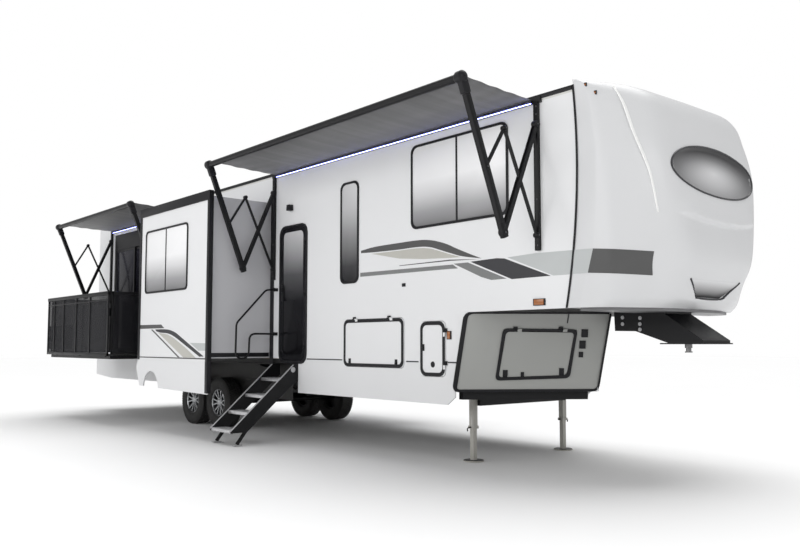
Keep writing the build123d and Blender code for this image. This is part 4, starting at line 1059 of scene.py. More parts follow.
def cap_plan(reach, fullness, crease):
    """Half plan of the cap, from the crease of its side round the corner to the middle of the nose."""
    depth = reach - JOINT_X
    side, corner, shoulder = [
        (JOINT_X + depth * along, HALF * across)
        for along, across in ((0.50, 0.93 + 0.02 * fullness), (0.78, 0.66 + 0.14 * fullness),
                              (0.955, 0.45 + 0.17 * fullness))]
    nose = arc(shoulder, (reach, 0.0), (shoulder[0], -shoulder[1]), 48)
    line = [(crease, HALF), side, corner, shoulder, nose[12], nose[24], nose[36]]
    return smooth_line(line, 12)[:61]


class BuildCap(bpy.types.Operator):
    """Moulded front cap with its oval, brow and scoop, its graphics, seams and lamps"""

    bl_idname = "trailer.cap"
    bl_label = "Front cap"

    def execute(self, context):
        made = self.shell()
        self.surface = BVHTree.FromObject(made, context.evaluated_depsgraph_get())
        light = [(-0.43, 2.181), (-0.215, 2.176), (-0.278, 1.956), (-0.452, 1.956)]
        block = [(-0.215, 2.176), (0.198, 2.140), (0.150, 1.926), (-0.278, 1.956)]
        for side, where in SIDES:
            self.film("cap_light_" + where, light, side, "film_light")
            self.film("cap_block_" + where, block, side, "film_charcoal")
        self.oval()
        self.scoop()
        self.fittings()
        return {"FINISHED"}

    def shell(self):
        """Outside of the cap as one fine grid, pressed in for the oval and the scoop."""
        sections = smooth_line(CAP_SECTIONS, 40)
        seam = arc(*JOINT, 80)
        heights = [DECK + 0.0127 * n for n in range(170)]
        heights = [z for z in heights if z < 3.805] + [3.812, 3.818, 3.820]
        points = []
        flat, corner = 8, 46
        for z in heights:
            reach, fullness, crease = read_line(sections, z)
            start = min(read_line(seam, z)[0], crease - 0.004)
            plan = cap_plan(reach, fullness, crease)
            far = [0.0]
            for (ax, ay), (bx, by) in zip(plan, plan[1:]):
                far.append(far[-1] + math.hypot(bx - ax, by - ay))
            rows = [(f, x, y) for f, (x, y) in zip(far, plan)]
            half = [(start + (crease - start) * n / flat, HALF) for n in range(flat)]
            half += [read_line(rows, far[-1] * (1 - (1 - n / corner) ** 1.15)) for n in range(corner + 1)]
            inset = 0.018 * smoothstep(3.800, 3.822, z)
            line = [(x - inset, -y + inset) for x, y in half]
            line += [(x - inset, y - inset) for x, y in half[-2::-1]]
            points += [(x + self.press(x, y, z), y, z) for x, y in line]
        wide = 2 * (flat + corner) + 1
        faces = grid_faces(len(heights) - 1, wide - 1)
        faces.append(list(range(wide))[::-1])
        faces.append([len(points) - wide + n for n in range(wide)])
        shape = Shape()
        shape.add([up(*point) for point in points], faces)
        inside = [vert for vert in shape.bm.verts if not vert.is_boundary and vert.co.z < 3.80 + GROUND]
        bmesh.ops.smooth_vert(shape.bm, verts=inside, factor=0.35, use_axis_x=True, use_axis_y=True)
        made = shape.piece("cap_shell", "cap_gelcoat", slot="cap_gelcoat")
        wall = made.modifiers.new("wall", "SOLIDIFY")
        wall.thickness = 0.010
        wall.offset = -1.0
        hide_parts("front_cap")
        return made

    def press(self, x, y, z):
        """How far the nose is pressed in or stands out at a place."""
        half_width, half_height, middle = OVAL
        away = math.hypot(y / half_width, (z - middle) / half_height)
        push = -0.034 * (1 - smoothstep(0.86, 1.0, away))
        brow = smoothstep(2.408, 2.446, z - 0.16 * y * y) * (1 - smoothstep(2.47, 2.86, z))
        push += 0.052 * brow * (1 - smoothstep(0.46, 0.74, abs(y)))
        share = (z - 1.735) / (1.910 - 1.735)
        edge = 0.235 + 0.225 * min(max(share, 0.0), 1.0)
        inside = 1 - smoothstep(edge - 0.020, edge, abs(y))
        push -= 0.050 * inside * smoothstep(1.728, 1.745, z) * (1 - smoothstep(0.0, 1.05, share))
        return push if x > 0.0 else 0.0

    def on_nose(self, y, z, out=0.002):
        """Point on the nose seen from straight ahead."""
        hit, normal, _, _ = self.surface.ray_cast(Vector((3.0, y, z + GROUND)), Vector((-1, 0, 0)))
        if hit is None:
            raise RuntimeError("no cap at %.3f %.3f" % (y, z))
        return hit + normal * (out if normal.x > 0 else -out)

    def on_side(self, x, z, side, out=0.0022):
        """Point on the side of the cap."""
        hit, normal, _, _ = self.surface.ray_cast(Vector((x, side * 3.0, z + GROUND)), Vector((0, -side, 0)))
        if hit is None:
            raise RuntimeError("no cap side at %.3f %.3f" % (x, z))
        return hit + normal * (out if normal.y * side > 0 else -out)

    def grid(self, name, rows, columns, place, finish_name, flip=False):
        """Thin film of a grid of places, with a rise from its first row to its last."""
        shares = [(column / columns, row / rows) for row in range(rows + 1) for column in range(columns + 1)]
        faces = grid_faces(rows, columns)
        if flip:
            faces = [face[::-1] for face in faces]
        shape = Shape()
        shape.add([place(*share) for share in shares], faces)
        made = shape.piece(name, finish_name, slot="cap_gelcoat", outward=False)
        set_rise(made, [along for _, along in shares])
        return made

    def film(self, name, outline, side, colour):
        """Film of four corners laid onto the cap from its side."""
        (a, b, c, d) = [Vector(corner) for corner in outline]

        def place(s, t):
            spot = (a * (1 - s) + b * s) * (1 - t) + (d * (1 - s) + c * s) * t
            return self.on_side(spot.x, spot.y, side)

        self.grid(name, 24, 72, place, colour, flip=side > 0)

    def oval(self):
        """Dished plate in the oval, with the painted shade of the recess: dark at its rim and its top,
        lighter towards its middle and foot; and the bright rim round it, both bare.
        """
        half_width, half_height, middle = OVAL

        def spot(turn, share, out):
            y = half_width * share * math.cos(turn)
            return self.on_nose(y, middle + half_height * share * math.sin(turn), out)

        def place(s, t):
            return spot(math.tau * s, 0.985 - 0.983 * t, 0.003)

        plate = self.grid("oval_plate", 12, 96, place, "oval_plate")
        rise = [one.value for one in plate.data.attributes["rise"].data]
        # Painted shade: the plate darkens towards the rim and the top of the recess and stays light at its
        # lower middle
        painted_shade_by_height = [0.5 - 0.5 * (vert.co.z - GROUND - middle) / half_height for vert in plate.data.vertices]
        set_rise(plate, [0.55 * inward + 0.45 * down for inward, down in zip(rise, painted_shade_by_height)])
        rim = [spot(math.tau * n / 120, 1.0, 0.001) for n in range(120)]
        Shape().sweep(rim, 0.010, 10, closed=True, rise=(1, 0, 0)).piece(
            "oval_rim", "dark_chrome", slot="cap_gelcoat")

    def scoop(self):
        """Floor of the scoop with painted shade, darkest at its foot, and the dark lip along its sides and
        foot, whose black is a painted shadow at the scoop's edge.
        """
        low, high = 1.748, 1.900

        def place(s, t):
            edge = 0.232 + 0.218 * t
            return self.on_nose(edge * (2 * s - 1) * 0.985, low + (high - low) * t, 0.002)

        # Painted shade: the floor goes from the cap's colour at its top to near black at its foot
        self.grid("scoop_floor", 14, 40, place, "scoop_floor")
        # The lip is a raised bead whose black is a painted shadow along the scoop's edge
        lip = [(0.452, 1.908), (0.405, 1.872), (0.345, 1.826), (0.285, 1.775), (0.252, 1.748), (0.215, 1.735)]
        line = [(-y, z) for y, z in lip] + [(-0.10, 1.731), (0.0, 1.730), (0.10, 1.731)] + lip[::-1]
        line = [self.on_nose(y, z, 0.001) for y, z in smooth_line(line, 4)]
        Shape().sweep(line, 0.0095, 8, rise=(1, 0, 0)).piece("scoop_lip", "film_black", slot="cap_gelcoat")

    def fittings(self):
        """Moulded ribs in a lighter gelcoat than the cap, a painted highlight along a real ridge, clearance
        lamps and the dark valance under the nose.
        """
        rib = smooth_line([(3.704, 1.016), (3.453, 1.025), (3.102, 0.985), (2.841, 0.926), (2.492, 0.863)], 8)
        lamps, lenses = Shape(), Shape()
        for side, where in SIDES:
            line = smooth_line([self.on_nose(side * y, z, -0.002) for z, y in rib[::6] + rib[-1:]], 6)
            line = [Vector(point) for point in line]
            shape = Shape()
            for number, (start, end) in enumerate(zip(line, line[1:])):
                taper = 1 - 0.75 * smoothstep(0.35, 1.0, number / len(line))
                shape.beam(start, end + (end - start) * 0.02, 0.012, 0.058 * taper, rounding=0.003)
            shape.piece("cap_rib_" + where, "bright_gelcoat", slot="cap_gelcoat")
            for x, z in ((-0.273, 3.728), (-0.185, 3.638)):
                spot = self.on_side(x, z, side, 0.0)
                lamps.box(spot - Vector((0.015, 0.006, 0.020)), spot + Vector((0.015, 0.006, 0.020)), 0.004)
                lenses.box(spot - Vector((0.007, 0.010, 0.009)), spot + Vector((0.007, 0.010, 0.009)), 0.003)
        lamps.piece("cap_lamp_bases", "black_trim")
        lenses.piece("cap_lamp_lenses", "amber_lens", slot="lamp_lens")
        plan = [(JOINT_X, HALF)] + cap_plan(*read_line(smooth_line(CAP_SECTIONS, 40), 1.66))
        half = [(JOINT_X + (x - JOINT_X) * 0.90, -y * 0.93) for x, y in plan]
        outline = half + [(x, -y) for x, y in reversed(half[:-1])]
        Shape().prism(outline, "z", 1.612 + GROUND, 1.641 + GROUND).piece("nose_valance", "valance")


def pane(name, opening, side, out, finish_name, body="trailer", rim=0.028):
    """Glass pane on a side wall, with a rise from its foot to its top."""
    _, _, z0, z1, radius = opening
    outline = inset_outline(opening, rim, max(radius - rim / 2, 0.01))
    shape = Shape()
    shape.prism(raised(outline), "y", side * (out - 0.006), side * out, 0.0015)
    made = shape.piece(name, finish_name, body, "dark_glass")
    rise_by_height(made, z0 + rim, z1 - z0 - 2 * rim)
    return made


def bead_round(name, outline, side, out, radius, body="trailer", sides=8):
    """Round bead along a closed outline on a side wall."""
    line = [up(x, side * out, z) for x, z in outline]
    Shape().sweep(line, radius, sides, closed=True, rise=(0, side, 0)).piece(name, "black_trim", body)


class BuildWindows(bpy.types.Operator):
    """Glass panes with a painted reflection graded into their colour, and the beads round their frames"""

    bl_idname = "trailer.windows"
    bl_label = "Windows"

    def execute(self, context):
        dress("black_trim", "window_frames", "curb_slide_window", "road_slide_window")
        rows = (
            ("narrow", NARROW_WINDOW, -1, HALF, "trailer", "window_glass"),
            ("front_curb", FRONT_WINDOW, -1, HALF, "trailer", "window_glass"),
            ("front_road", FRONT_WINDOW, 1, HALF, "trailer", "window_glass"),
            ("rear_road", REAR_SIDE_WINDOW, 1, HALF, "trailer", "window_glass"),
            ("slide_curb", SLIDE_WINDOW, -1, SLIDE_FACE, "curb_slide", "curb_slide_glass"),
            ("slide_road", ROAD_SLIDE_WINDOW, 1, SLIDE_FACE, "road_slide", "road_slide_glass"),
        )
        for name, opening, side, wall, body, node in rows:
            tint = "narrow_glass" if name == "narrow" else "window_glass"
            made = pane("glass_" + name, opening, side, wall + 0.004, tint, body)
            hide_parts(node)
            for inset, thick in ((0.004, 0.005), (0.024, 0.004)):
                loop = inset_outline(opening, inset, opening[4] - inset * 0.5)
                bead_round("bead_%s_%d" % (name, round(inset * 1000)), loop, side, wall + 0.010, thick, body)
        low, high = 2.228, 2.872
        rear = Shape().box(up(REAR - 0.004, -0.472, low), up(REAR + 0.002, 0.472, high), 0.001)
        made = rear.piece("glass_rear", "window_glass", slot="dark_glass")
        rise_by_height(made, low, high - low)
        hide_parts("window_glass")
        return {"FINISHED"}


def hatch_ring(name, opening):
    """Black trim round a hatch leaf of the curb side, with a bead along its inner edge."""
    radius = opening[4]
    width = sizes().hatch_trim
    wall = HALF + 0.008
    outer = inset_outline(opening, 0.007, radius)
    inner = inset_outline(opening, width, max(radius - width / 2, 0.02))
    shape = Shape().ring(raised(outer), raised(inner), "y", -wall, -wall - 0.004)
    shape.piece(name + "_trim", "black_trim", name)
    bead_round(name + "_bead", inner, -1, wall + 0.004, 0.004, name, 6)


def latch(shape, x, z, wide=0.045):
    """Flush slam latch: a plate with its pull."""
    wall = HALF + 0.008
    low, high = z - 0.0375, z + 0.0375
    shape.side_box(-1, (x - wide / 2, x + wide / 2), (wall, wall + 0.006), (low, high), 0.002)
    shape.side_box(-1, (x - wide / 3, x + wide / 3), (wall + 0.006, wall + 0.014),
                   (low + 0.012, z + 0.005), 0.002)


class BuildDoors(bpy.types.Operator):
    """Entry door, luggage and service hatches with their trims and latches"""

    bl_idname = "trailer.doors"
    bl_label = "Doors and hatches"

    def execute(self, context):
        dress("door_skin", "entry_door")
        dress("white_gelcoat", "middle_hatch", "service_hatch")
        hatch_ring("middle_hatch", MIDDLE_HATCH)
        hatch_ring("service_hatch", SERVICE_HATCH)
        shape = Shape()
        latch(shape, -3.92, 1.085)
        latch(shape, -3.02, 1.085)
        shape.piece("middle_latches", "black_trim", "middle_hatch")
        shape = Shape()
        latch(shape, -2.545, 1.262, 0.04)
        shape.piece("service_latch", "black_trim", "service_hatch")
        x0, x1, z0, z1, radius = ENTRY
        glass = (x0 + 0.060, x1 - 0.060, z0 + 0.040, z1 - 0.052, 0.09)
        made = pane("entry_pane", glass, -1, HALF + 0.003, "door_glass", "entry_door", rim=0.0)
        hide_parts("entry_glass")
        bead_round("entry_frame_bead", inset_outline(ENTRY, 0.006, radius), -1, HALF + 0.012, 0.006)
        shape = Shape()
        shape.side_box(-1, (-5.515, -5.455), (HALF + 0.008, HALF + 0.024), (1.90, 2.12), 0.004)
        shape.side_box(-1, (-5.500, -5.470), (HALF + 0.022, HALF + 0.034), (2.02, 2.09), 0.004)
        shape.piece("entry_lock", "black_trim", "entry_door")
        return {"FINISHED"}


class BuildTub(bpy.types.Operator):
    """Grey bow panels of the storage tub with their hatches, vents and edge trims"""

    bl_idname = "trailer.tub"
    bl_label = "Storage tub"

    def execute(self, context):
        dress("grey_gelcoat", "storage_tub", "storage_hatch_curb", "storage_hatch_road")
        corners = [(0.441, 0.135), (1.226, 0.160), (1.298, 0.668), (0.515, 0.678)]
        outer = self.softened(corners, 0.055, -0.012)
        inner = self.softened(corners, 0.050, 0.020)
        for side, where in SIDES:
            mirror = Matrix.Scale(-1, 4, (0, 1, 0)) if side > 0 else Matrix()
            place = mirror @ bow_matrix()
            hatch = "storage_hatch_" + where
            ring = Shape().ring(outer, inner, "y", -0.008, -0.013).moved(place)
            ring.piece("tub_hatch_trim_" + where, "black_trim", hatch)
            line = [mirror @ on_bow(u, v, 0.013) for u, v in inner]
            Shape().sweep(line, 0.004, 6, closed=True).piece("tub_hatch_bead_" + where, "black_trim", hatch)
            latches = Shape()
            for u, v, wide, tall in ((0.536, 0.200, 0.052, 0.080), (0.722, 0.190, 0.036, 0.055),
                                     (1.146, 0.219, 0.052, 0.080)):
                latches.box((u - wide / 2, -0.018, v - tall / 2), (u + wide / 2, -0.008, v + tall / 2), 0.003)
                latches.box((u - wide / 3, -0.027, v - tall / 2 + 0.01), (u + wide / 3, -0.018, v + 0.004),
                            0.002)
            latches.moved(place).piece("tub_latches_" + where, "black_trim", hatch)
            vents = Shape()
            for u, v, wide, tall in ((1.388, 0.636, 0.072, 0.088), (1.368, 0.513, 0.068, 0.088),
                                     (1.353, 0.405, 0.048, 0.060)):
                vents.box((u - wide / 2, -0.010, v - tall / 2), (u + wide / 2, 0.0, v + tall / 2), 0.003)
            vents.moved(place).piece("tub_vents_" + where, "black_trim")
            self.trims(mirror, where)
        return {"FINISHED"}

    def softened(self, corners, radius, inset):
        """Outline of a slanted four-cornered shape with rounded corners, moved in by a distance."""
        middle = Vector((sum(x for x, _ in corners) / 4, sum(z for _, z in corners) / 4))
        moved = []
        for corner in corners:
            away = Vector(corner) - middle
            moved.append(Vector((corner[0] - inset * math.copysign(1.0, away.x),
                                 corner[1] - inset * math.copysign(1.0, away.y))))
        line = []
        for before, here, after in zip(moved[-1:] + moved[:-1], moved, moved[1:] + moved[:1]):
            line += [tuple(spot) for spot in bend(before, here, after, radius, 6)]
        return line

    def trims(self, mirror, where):
        """Black trim round a bow panel, broad up its rear edge, and the seam below the cap's joint."""
        top = 0.8635
        length = Vector(BOW_FOOT).length
        out = mirror.to_3x3() @ bow_frame()[3]
        # Corners of the trim's centre line: place, radius, then the width of the trim up to the next corner
        rows = (
            (-0.008, 0.010, 0.060, 0.050), (0.106, top - 0.008, 0.075, 0.020),
            (length + 0.126, top - 0.010, 0.030, 0.020), (length + 0.012, 0.014, 0.070, 0.030),
        )
        line, patches = [], Shape()
        for before, here, after in zip(rows[-1:] + rows[:-1], rows, rows[1:] + rows[:1]):
            spot = Vector(here[:2])
            curve = bend(Vector(before[:2]), spot, Vector(after[:2]), here[2], 8)
            line += [(point, before[3] + (here[3] - before[3]) * n / 8) for n, point in enumerate(curve)]
            spread = (spot - (curve[0] + curve[-1]) / 2).normalized() * 0.016
            patches.prism([tuple(point) for point in curve] + [tuple(spot + spread)], "y", -0.0035, -0.0005)
        patches.moved(mirror @ bow_matrix()).piece(
            "tub_corners_" + where, "white_gelcoat", slot="white_wall", smooth=False)
        shape = Shape()
        for (start, wide), (end, _) in zip(line, line[1:] + line[:1]):
            start, end = [mirror @ on_bow(spot.x, spot.y, 0.004) for spot in (start, end)]
            reach = (end - start).normalized() * 0.004
            shape.beam(start - reach, end + reach, 0.010, wide, rise=tuple(out), rounding=0.003)
        shape.piece("tub_edge_" + where, "black_trim")
        seam = [mirror @ on_bow(u, v, 0.002) for u, v in ((1.197, 0.745), (1.212, 0.858))]
        Shape().beam(*seam, 0.006, 0.012, rise=tuple(out)).piece(
            "tub_seam_" + where, "grey_trim", smooth=False)


class BuildSlides(bpy.types.Operator):
    """Slide-outs: skins, corner trims, topper, belt line and graphics"""

    bl_idname = "trailer.slides"
    bl_label = "Slide-outs"

    def execute(self, context):
        dress("white_gelcoat", "curb_slide_face", "road_slide_face")
        # Painted shade: the slide boxes' end walls get the darker copy of the gelcoat
        dress("end_wall", "curb_slide_box", "road_slide_box")
        rows = ((-1, "curb_slide", SLIDE, 0.70), (1, "road_slide", ROAD_SLIDE, ROAD_SLIDE[2] - 0.02))
        for side, name, (rear, front, low, high), flange_low in rows:
            trims, flange = Shape(), Shape()
            for x, turn in ((rear, -1), (front, 1)):
                trims.side_box(side, (x, x - turn * 0.050), (SLIDE_FACE, SLIDE_FACE + 0.012),
                               (low - 0.004, high + 0.004), 0.003)
                trims.side_box(side, (x, x + turn * 0.012), (SLIDE_FACE - 0.052, SLIDE_FACE + 0.012),
                               (low - 0.004, high + 0.004), 0.003)
                trims.side_box(side, (x - turn * 0.052, x - turn * 0.058), (HALF + 0.004, SLIDE_FACE - 0.04),
                               (low + 0.052, low + 0.110), 0.001)
                flange.side_box(side, (x - turn * 0.040, x + turn * 0.060), (HALF, HALF + 0.0025),
                                (flange_low, high - 0.01))
            ends = (rear - 0.012, front + 0.012)
            trims.side_box(side, ends, (SLIDE_FACE, SLIDE_FACE + 0.016), (high - 0.120, high + 0.006), 0.004)
            trims.side_box(side, ends, (SLIDE_FACE - 0.05, SLIDE_FACE + 0.016), (high, high + 0.012), 0.003)
            if side < 0:
                trims.side_box(side, (front - 0.052, front + 0.012), (SLIDE_FACE - 0.052, SLIDE_FACE + 0.012),
                               (SLIDE_SKIRT, low), 0.003)
            trims.piece(name + "_trims", "black_trim", name)
            flange.piece(name + "_wall_flange", "black_trim")
            belt = Shape().side_box(side, (rear + 0.05, front - 0.05), (SLIDE_FACE, SLIDE_FACE + 0.006),
                                    (FLOOR_TOP - 0.007, FLOOR_TOP + 0.007))
            belt.piece(name + "_belt", "grey_trim", name, smooth=False)
        self.graphics("curb_slide")
        return {"FINISHED"}

    def graphics(self, body):
        """Bar, slanted line, curved band and fills of the curb side slide-out."""
        outside = smooth_line([
            (-7.489, 1.518), (-7.250, 1.520), (-7.024, 1.510), (-6.800, 1.468), (-6.579, 1.387),
            (-6.282, 1.274), (-5.908, 1.133)])
        inside = smooth_line([
            (-6.034, 1.128), (-6.363, 1.246), (-6.707, 1.368), (-6.908, 1.430), (-7.067, 1.458),
            (-7.300, 1.470), (-7.439, 1.490)])
        bar = [(-8.040, 1.535), (-7.170, 1.535), (-7.280, 1.590), (-8.040, 1.595)]
        slant = [(-7.640, 1.520), (-7.580, 1.520), (-6.640, 1.112), (-6.700, 1.112)]
        sand = [(-7.380, 1.470), (-7.050, 1.440), (-6.860, 1.392), (-6.420, 1.232), (-6.140, 1.112),
                (-6.520, 1.112)]
        block = [(-6.330, 1.318), (-5.852, 1.311), (-5.852, 1.211), (-6.060, 1.211)]
        for name, outline, colour in (
            ("slide_bar", bar, "film_charcoal"),
            ("slide_slant", slant, "film_charcoal"),
            ("slide_band", outside + inside, "film_black"),
            ("slide_sand", sand, "film_sand"),
            ("slide_block", block, "film_light"),
        ):
            decal(name, outline, -1, colour, SLIDE_FACE, body)


class BuildAwnings(bpy.types.Operator):
    """Awnings: sagging cloth with its folds and hems, light strip, arm castings and pivots"""

    bl_idname = "trailer.awnings"
    bl_label = "Awnings"

    def execute(self, context):
        dress("black_aluminium", "awning_front_frame", "awning_rear_frame")
        for row in AWNINGS:
            self.cloth(row)
            self.fittings(row)
        return {"FINISHED"}

    def cloth(self, row):
        """Stretched cloth from the wall rail to the top of the roller, with its sag and its end folds."""
        name, rear, front, rail_z, roller_z, _, _ = row
        sag = sizes().awning_sag
        along, across = 240, 30
        x0, x1 = rear + 0.042, front - 0.042
        top = roller_z + ROLLER_R + 0.003
        points = []
        for j in range(across + 1):
            t = j / across
            for i in range(along + 1):
                s = i / along
                x = x0 + (x1 - x0) * s
                y = WALL_RAIL_Y + (ROLLER_Y - WALL_RAIL_Y) * t
                z = rail_z + 0.024 + (top - rail_z - 0.024) * t
                z -= sag * math.sin(math.pi * t) * (0.35 + 0.65 * math.sin(math.pi * s) ** 0.5)
                near = math.exp(-min(s, 1 - s) * (x1 - x0) / 0.42)
                fold = math.sin((t * 9.0 + min(s, 1 - s) * 6.0) * math.pi) * near * math.sin(math.pi * t)
                points.append(up(x, y, z + 0.004 * fold))
        shape = Shape()
        shape.add(points, grid_faces(across, along))
        made = shape.piece(name + "_cloth", "awning_cloth", slot="awning_cloth", outward=False)
        set_rise(made, [j / across for j in range(across + 1) for _ in range(along + 1)])
        width = math.hypot(ROLLER_Y - WALL_RAIL_Y, top - rail_z - 0.024)
        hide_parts(name + "_fabric")

    def fittings(self, row):
        """Light strip, hem, roller castings, and the castings and bolts at the arms' joints."""
        name, rear, front, rail_z, roller_z, shoulder_z, pivot_z = row
        strip = Shape().box(up(rear + 0.06, WALL_RAIL_Y - 0.004, rail_z - 0.012),
                            up(front - 0.06, WALL_RAIL_Y + 0.010, rail_z - 0.004), 0.001)
        strip.piece(name + "_light", "light_strip", slot="lamp_lens")
        hem_y, hem_z = WALL_RAIL_Y - 0.016, rail_z + 0.012
        hem = [up(rear + 0.05, hem_y, hem_z), up(front - 0.05, hem_y, hem_z)]
        bead(name + "_hem", hem, 0.007, "grey_trim", slot="awning_cloth")
        count = int((front - rear - 0.1) / 0.06)
        places = [up(rear + 0.06 + 0.06 * n, WALL_RAIL_Y - 0.020, rail_z + 0.004) for n in range(count)]
        blocks(name + "_hem_clips", places, (0.026, 0.010, 0.012), "black_trim")
        caps, plates = Shape(), Shape()
        pins = []
        head = Vector((0, ROLLER_Y, roller_z))
        knee = Vector((0, KNEE_Y, shoulder_z - KNEE_DROP))
        shoulder = Vector((0, CHANNEL_Y, shoulder_z))
        elbow = head + (knee - head) * ELBOW_SHARE
        apex = Vector((0, APEX_Y, shoulder_z - APEX_DROP))
        pivot = Vector((0, CHANNEL_Y, pivot_z))
        down = (knee - head).normalized()
        for x, turn in ((rear, -1), (front, 1)):
            caps.lathe([(0.004, -0.062), (0.046, -0.062), (0.058, -0.040), (0.060, 0.020), (0.050, 0.034),
                        (0.030, 0.046), (0.004, 0.050)], 32, up(x - turn * 0.004, ROLLER_Y, roller_z), "x")
            tip = head + down * 0.155
            caps.beam(up(x - turn * 0.002, head.y, head.z), up(x - turn * 0.002, tip.y, tip.z), 0.066, 0.092,
                      rounding=0.016)
            for spot, size in ((knee, 0.040), (shoulder, 0.034), (elbow, 0.026), (apex, 0.022),
                               (pivot, 0.024)):
                plates.lathe([(0.002, -0.030), (size, -0.030), (size + 0.003, -0.022), (size + 0.003, 0.022),
                              (size, 0.030), (0.002, 0.030)], 24, up(x, spot.y, spot.z), "x")
                pins.append(up(x + turn * 0.032, spot.y, spot.z))
            toe = knee + down * 0.052
            plates.beam(up(x, *(knee - down * 0.10)[1:]), up(x, toe.y, toe.z), 0.056, 0.068, rounding=0.010)
            for z in (rail_z - 0.05, pivot_z - 0.10, pivot_z + 0.35, shoulder_z + 0.10):
                pins.append(up(x + 0.012, -HALF - 0.037, z))
            for edge in (x - 0.027, x + 0.019):
                plates.side_box(-1, (edge, edge + 0.008), (HALF + 0.030, HALF + 0.038),
                                (pivot_z - 0.150, rail_z - 0.02), 0.002)
            groove = (head + down * 0.17, knee - down * 0.12)
            for aside in (-0.024, 0.024):
                start, end = [up(x + aside, spot.y, spot.z) for spot in groove]
                plates.beam(start, end, 0.005, 0.040, rounding=0.001)
        caps.piece(name + "_head_castings", "black_trim", slot="black_aluminium")
        plates.piece(name + "_castings", "black_aluminium", slot="black_aluminium")
        studs(name + "_pivot_bolts", pins, LENGTHWAYS, 0.009, 0.008, "edge_aluminium", slot="black_aluminium",
              sides=6)


class BuildPatio(bpy.types.Operator):
    """Patio door, deck boards and see-through rail screens"""

    bl_idname = "trailer.patio"
    bl_label = "Patio"

    def execute(self, context):
        dress("black_trim", "patio_frame", "patio_slider", "wall_brackets")
        dress("black_steel", "patio_deck")
        x0, x1, z0, z1 = PATIO_DOOR
        middle = (x0 + x1) / 2
        glass_z = (z0 + 0.085, z1 - 0.085, 0.006)
        fixed = pane("patio_pane", (x0 + 0.085, middle, *glass_z), -1, HALF - 0.007, "dark_glass", rim=0.0)
        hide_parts("patio_glass")
        sliding = pane("patio_sliding_pane", (middle + 0.0225, x1 - 0.090, *glass_z), -1, HALF - 0.033,
                       "dark_glass", "patio_slider", rim=0.0)
        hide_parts("patio_slider_glass")
        rear, front = PATIO
        lines = [up((rear + front) / 2, -1.30 - 1.08 * number / 16, 1.1115) for number in range(17)]
        blocks("deck_grip_ribs", lines, (front - rear - 0.12, 0.018, 0.004), "edge_aluminium", "patio_deck",
               "black_steel")
        self.outer_rail()
        for name, x in (("patio_rail_rear", rear + 0.015), ("patio_rail_front", front - 0.015)):
            self.end_rail(name, x)
        surround = Shape()
        surround.ring(raised(rounded_outline(-11.700, SLIDE[0] - 0.062, 1.112, 3.440, 0.01, 1)),
                      raised(rounded_outline(x0, x1, z0, z1, 0.004, 1)), "y", -HALF, -HALF - 0.004)
        surround.piece("patio_surround", "black_trim", smooth=False)
        return {"FINISHED"}

    def outer_rail(self):
        """Outer rail: tube frame with a broad cap, uprights, hinge barrels and a see-through screen."""
        rear, front = PATIO
        y = PATIO_RAIL_Y
        low, high = PATIO_RAIL_Z
        hinge_y, hinge_z = PATIO_HINGE
        shape = Shape()
        shape.box(up(rear, y - 0.015, low), up(front, y + 0.015, low + 0.045), 0.004)
        shape.box(up(rear, y - 0.024, high - 0.060), up(front, y + 0.024, high), 0.006)
        shape.box(up(rear + 0.03, y - 0.011, high - 0.150), up(front - 0.03, y + 0.011, high - 0.128), 0.003)
        for x in (rear, rear + 0.34, rear + 0.84, rear + 1.48, rear + 2.13, front - 0.03):
            shape.box(up(x, y - 0.015, low), up(x + 0.030, y + 0.015, high - 0.02), 0.004)
        for x in (rear + 0.25, (rear + front) / 2 - 0.045, front - 0.34):
            shape.sweep([up(x, hinge_y, hinge_z), up(x + 0.09, hinge_y, hinge_z)], 0.010, 12)
            shape.box(up(x, y, hinge_z - 0.006), up(x + 0.09, hinge_y, hinge_z + 0.006), 0.001)
        made = shape.piece("patio_rail_outer_tubes", "black_aluminium", "patio_rail_outer", "black_steel")
        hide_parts("patio_rail_outer")
        screen = Shape().box(up(rear + 0.02, y - 0.002, low + 0.03), up(front - 0.02, y + 0.001, high - 0.04))
        screen.piece("patio_screen_outer", "mesh_screen", "patio_rail_outer", "black_steel", smooth=False)
        panel = Shape().box(up(rear + 0.03, y + 0.003, low + 0.10), up(rear + 1.30, y + 0.005, low + 0.52))
        panel.piece("patio_kick_panel", "black_aluminium", "patio_rail_outer", "black_steel", smooth=False)

    def end_rail(self, name, x):
        """End rail of tubes with its diagonal stay, catch and screen."""
        start, end = PATIO_RAIL_Y + 0.050, -HALF - 0.060
        low, high = PATIO_RAIL_Z[0] + 0.030, PATIO_RAIL_Z[1]
        shape = Shape()
        for z, tall in ((low, 0.030), (high - 0.045, 0.045)):
            shape.box(up(x - 0.015, start, z), up(x + 0.015, end, z + tall), 0.004)
        for y in (start, (start + end) / 2, end - 0.030):
            shape.box(up(x - 0.015, y, low), up(x + 0.015, y + 0.030, high), 0.004)
        stay = up(x, start + 0.60, low + 0.06), up(x, end - 0.03, low + 0.42)
        shape.beam(*stay, 0.016, 0.022, rounding=0.004)
        shape.box(up(x - 0.016, end - 0.075, high - 0.30), up(x + 0.016, end - 0.020, high - 0.14), 0.004)
        made = shape.piece(name + "_tubes", "black_aluminium", name, "black_steel")
        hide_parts(name)
        screen = Shape().box(up(x - 0.001, start + 0.02, low + 0.02), up(x + 0.002, end - 0.02, high - 0.03))
        screen.piece(name + "_screen", "mesh_screen", name, "black_steel", smooth=False)


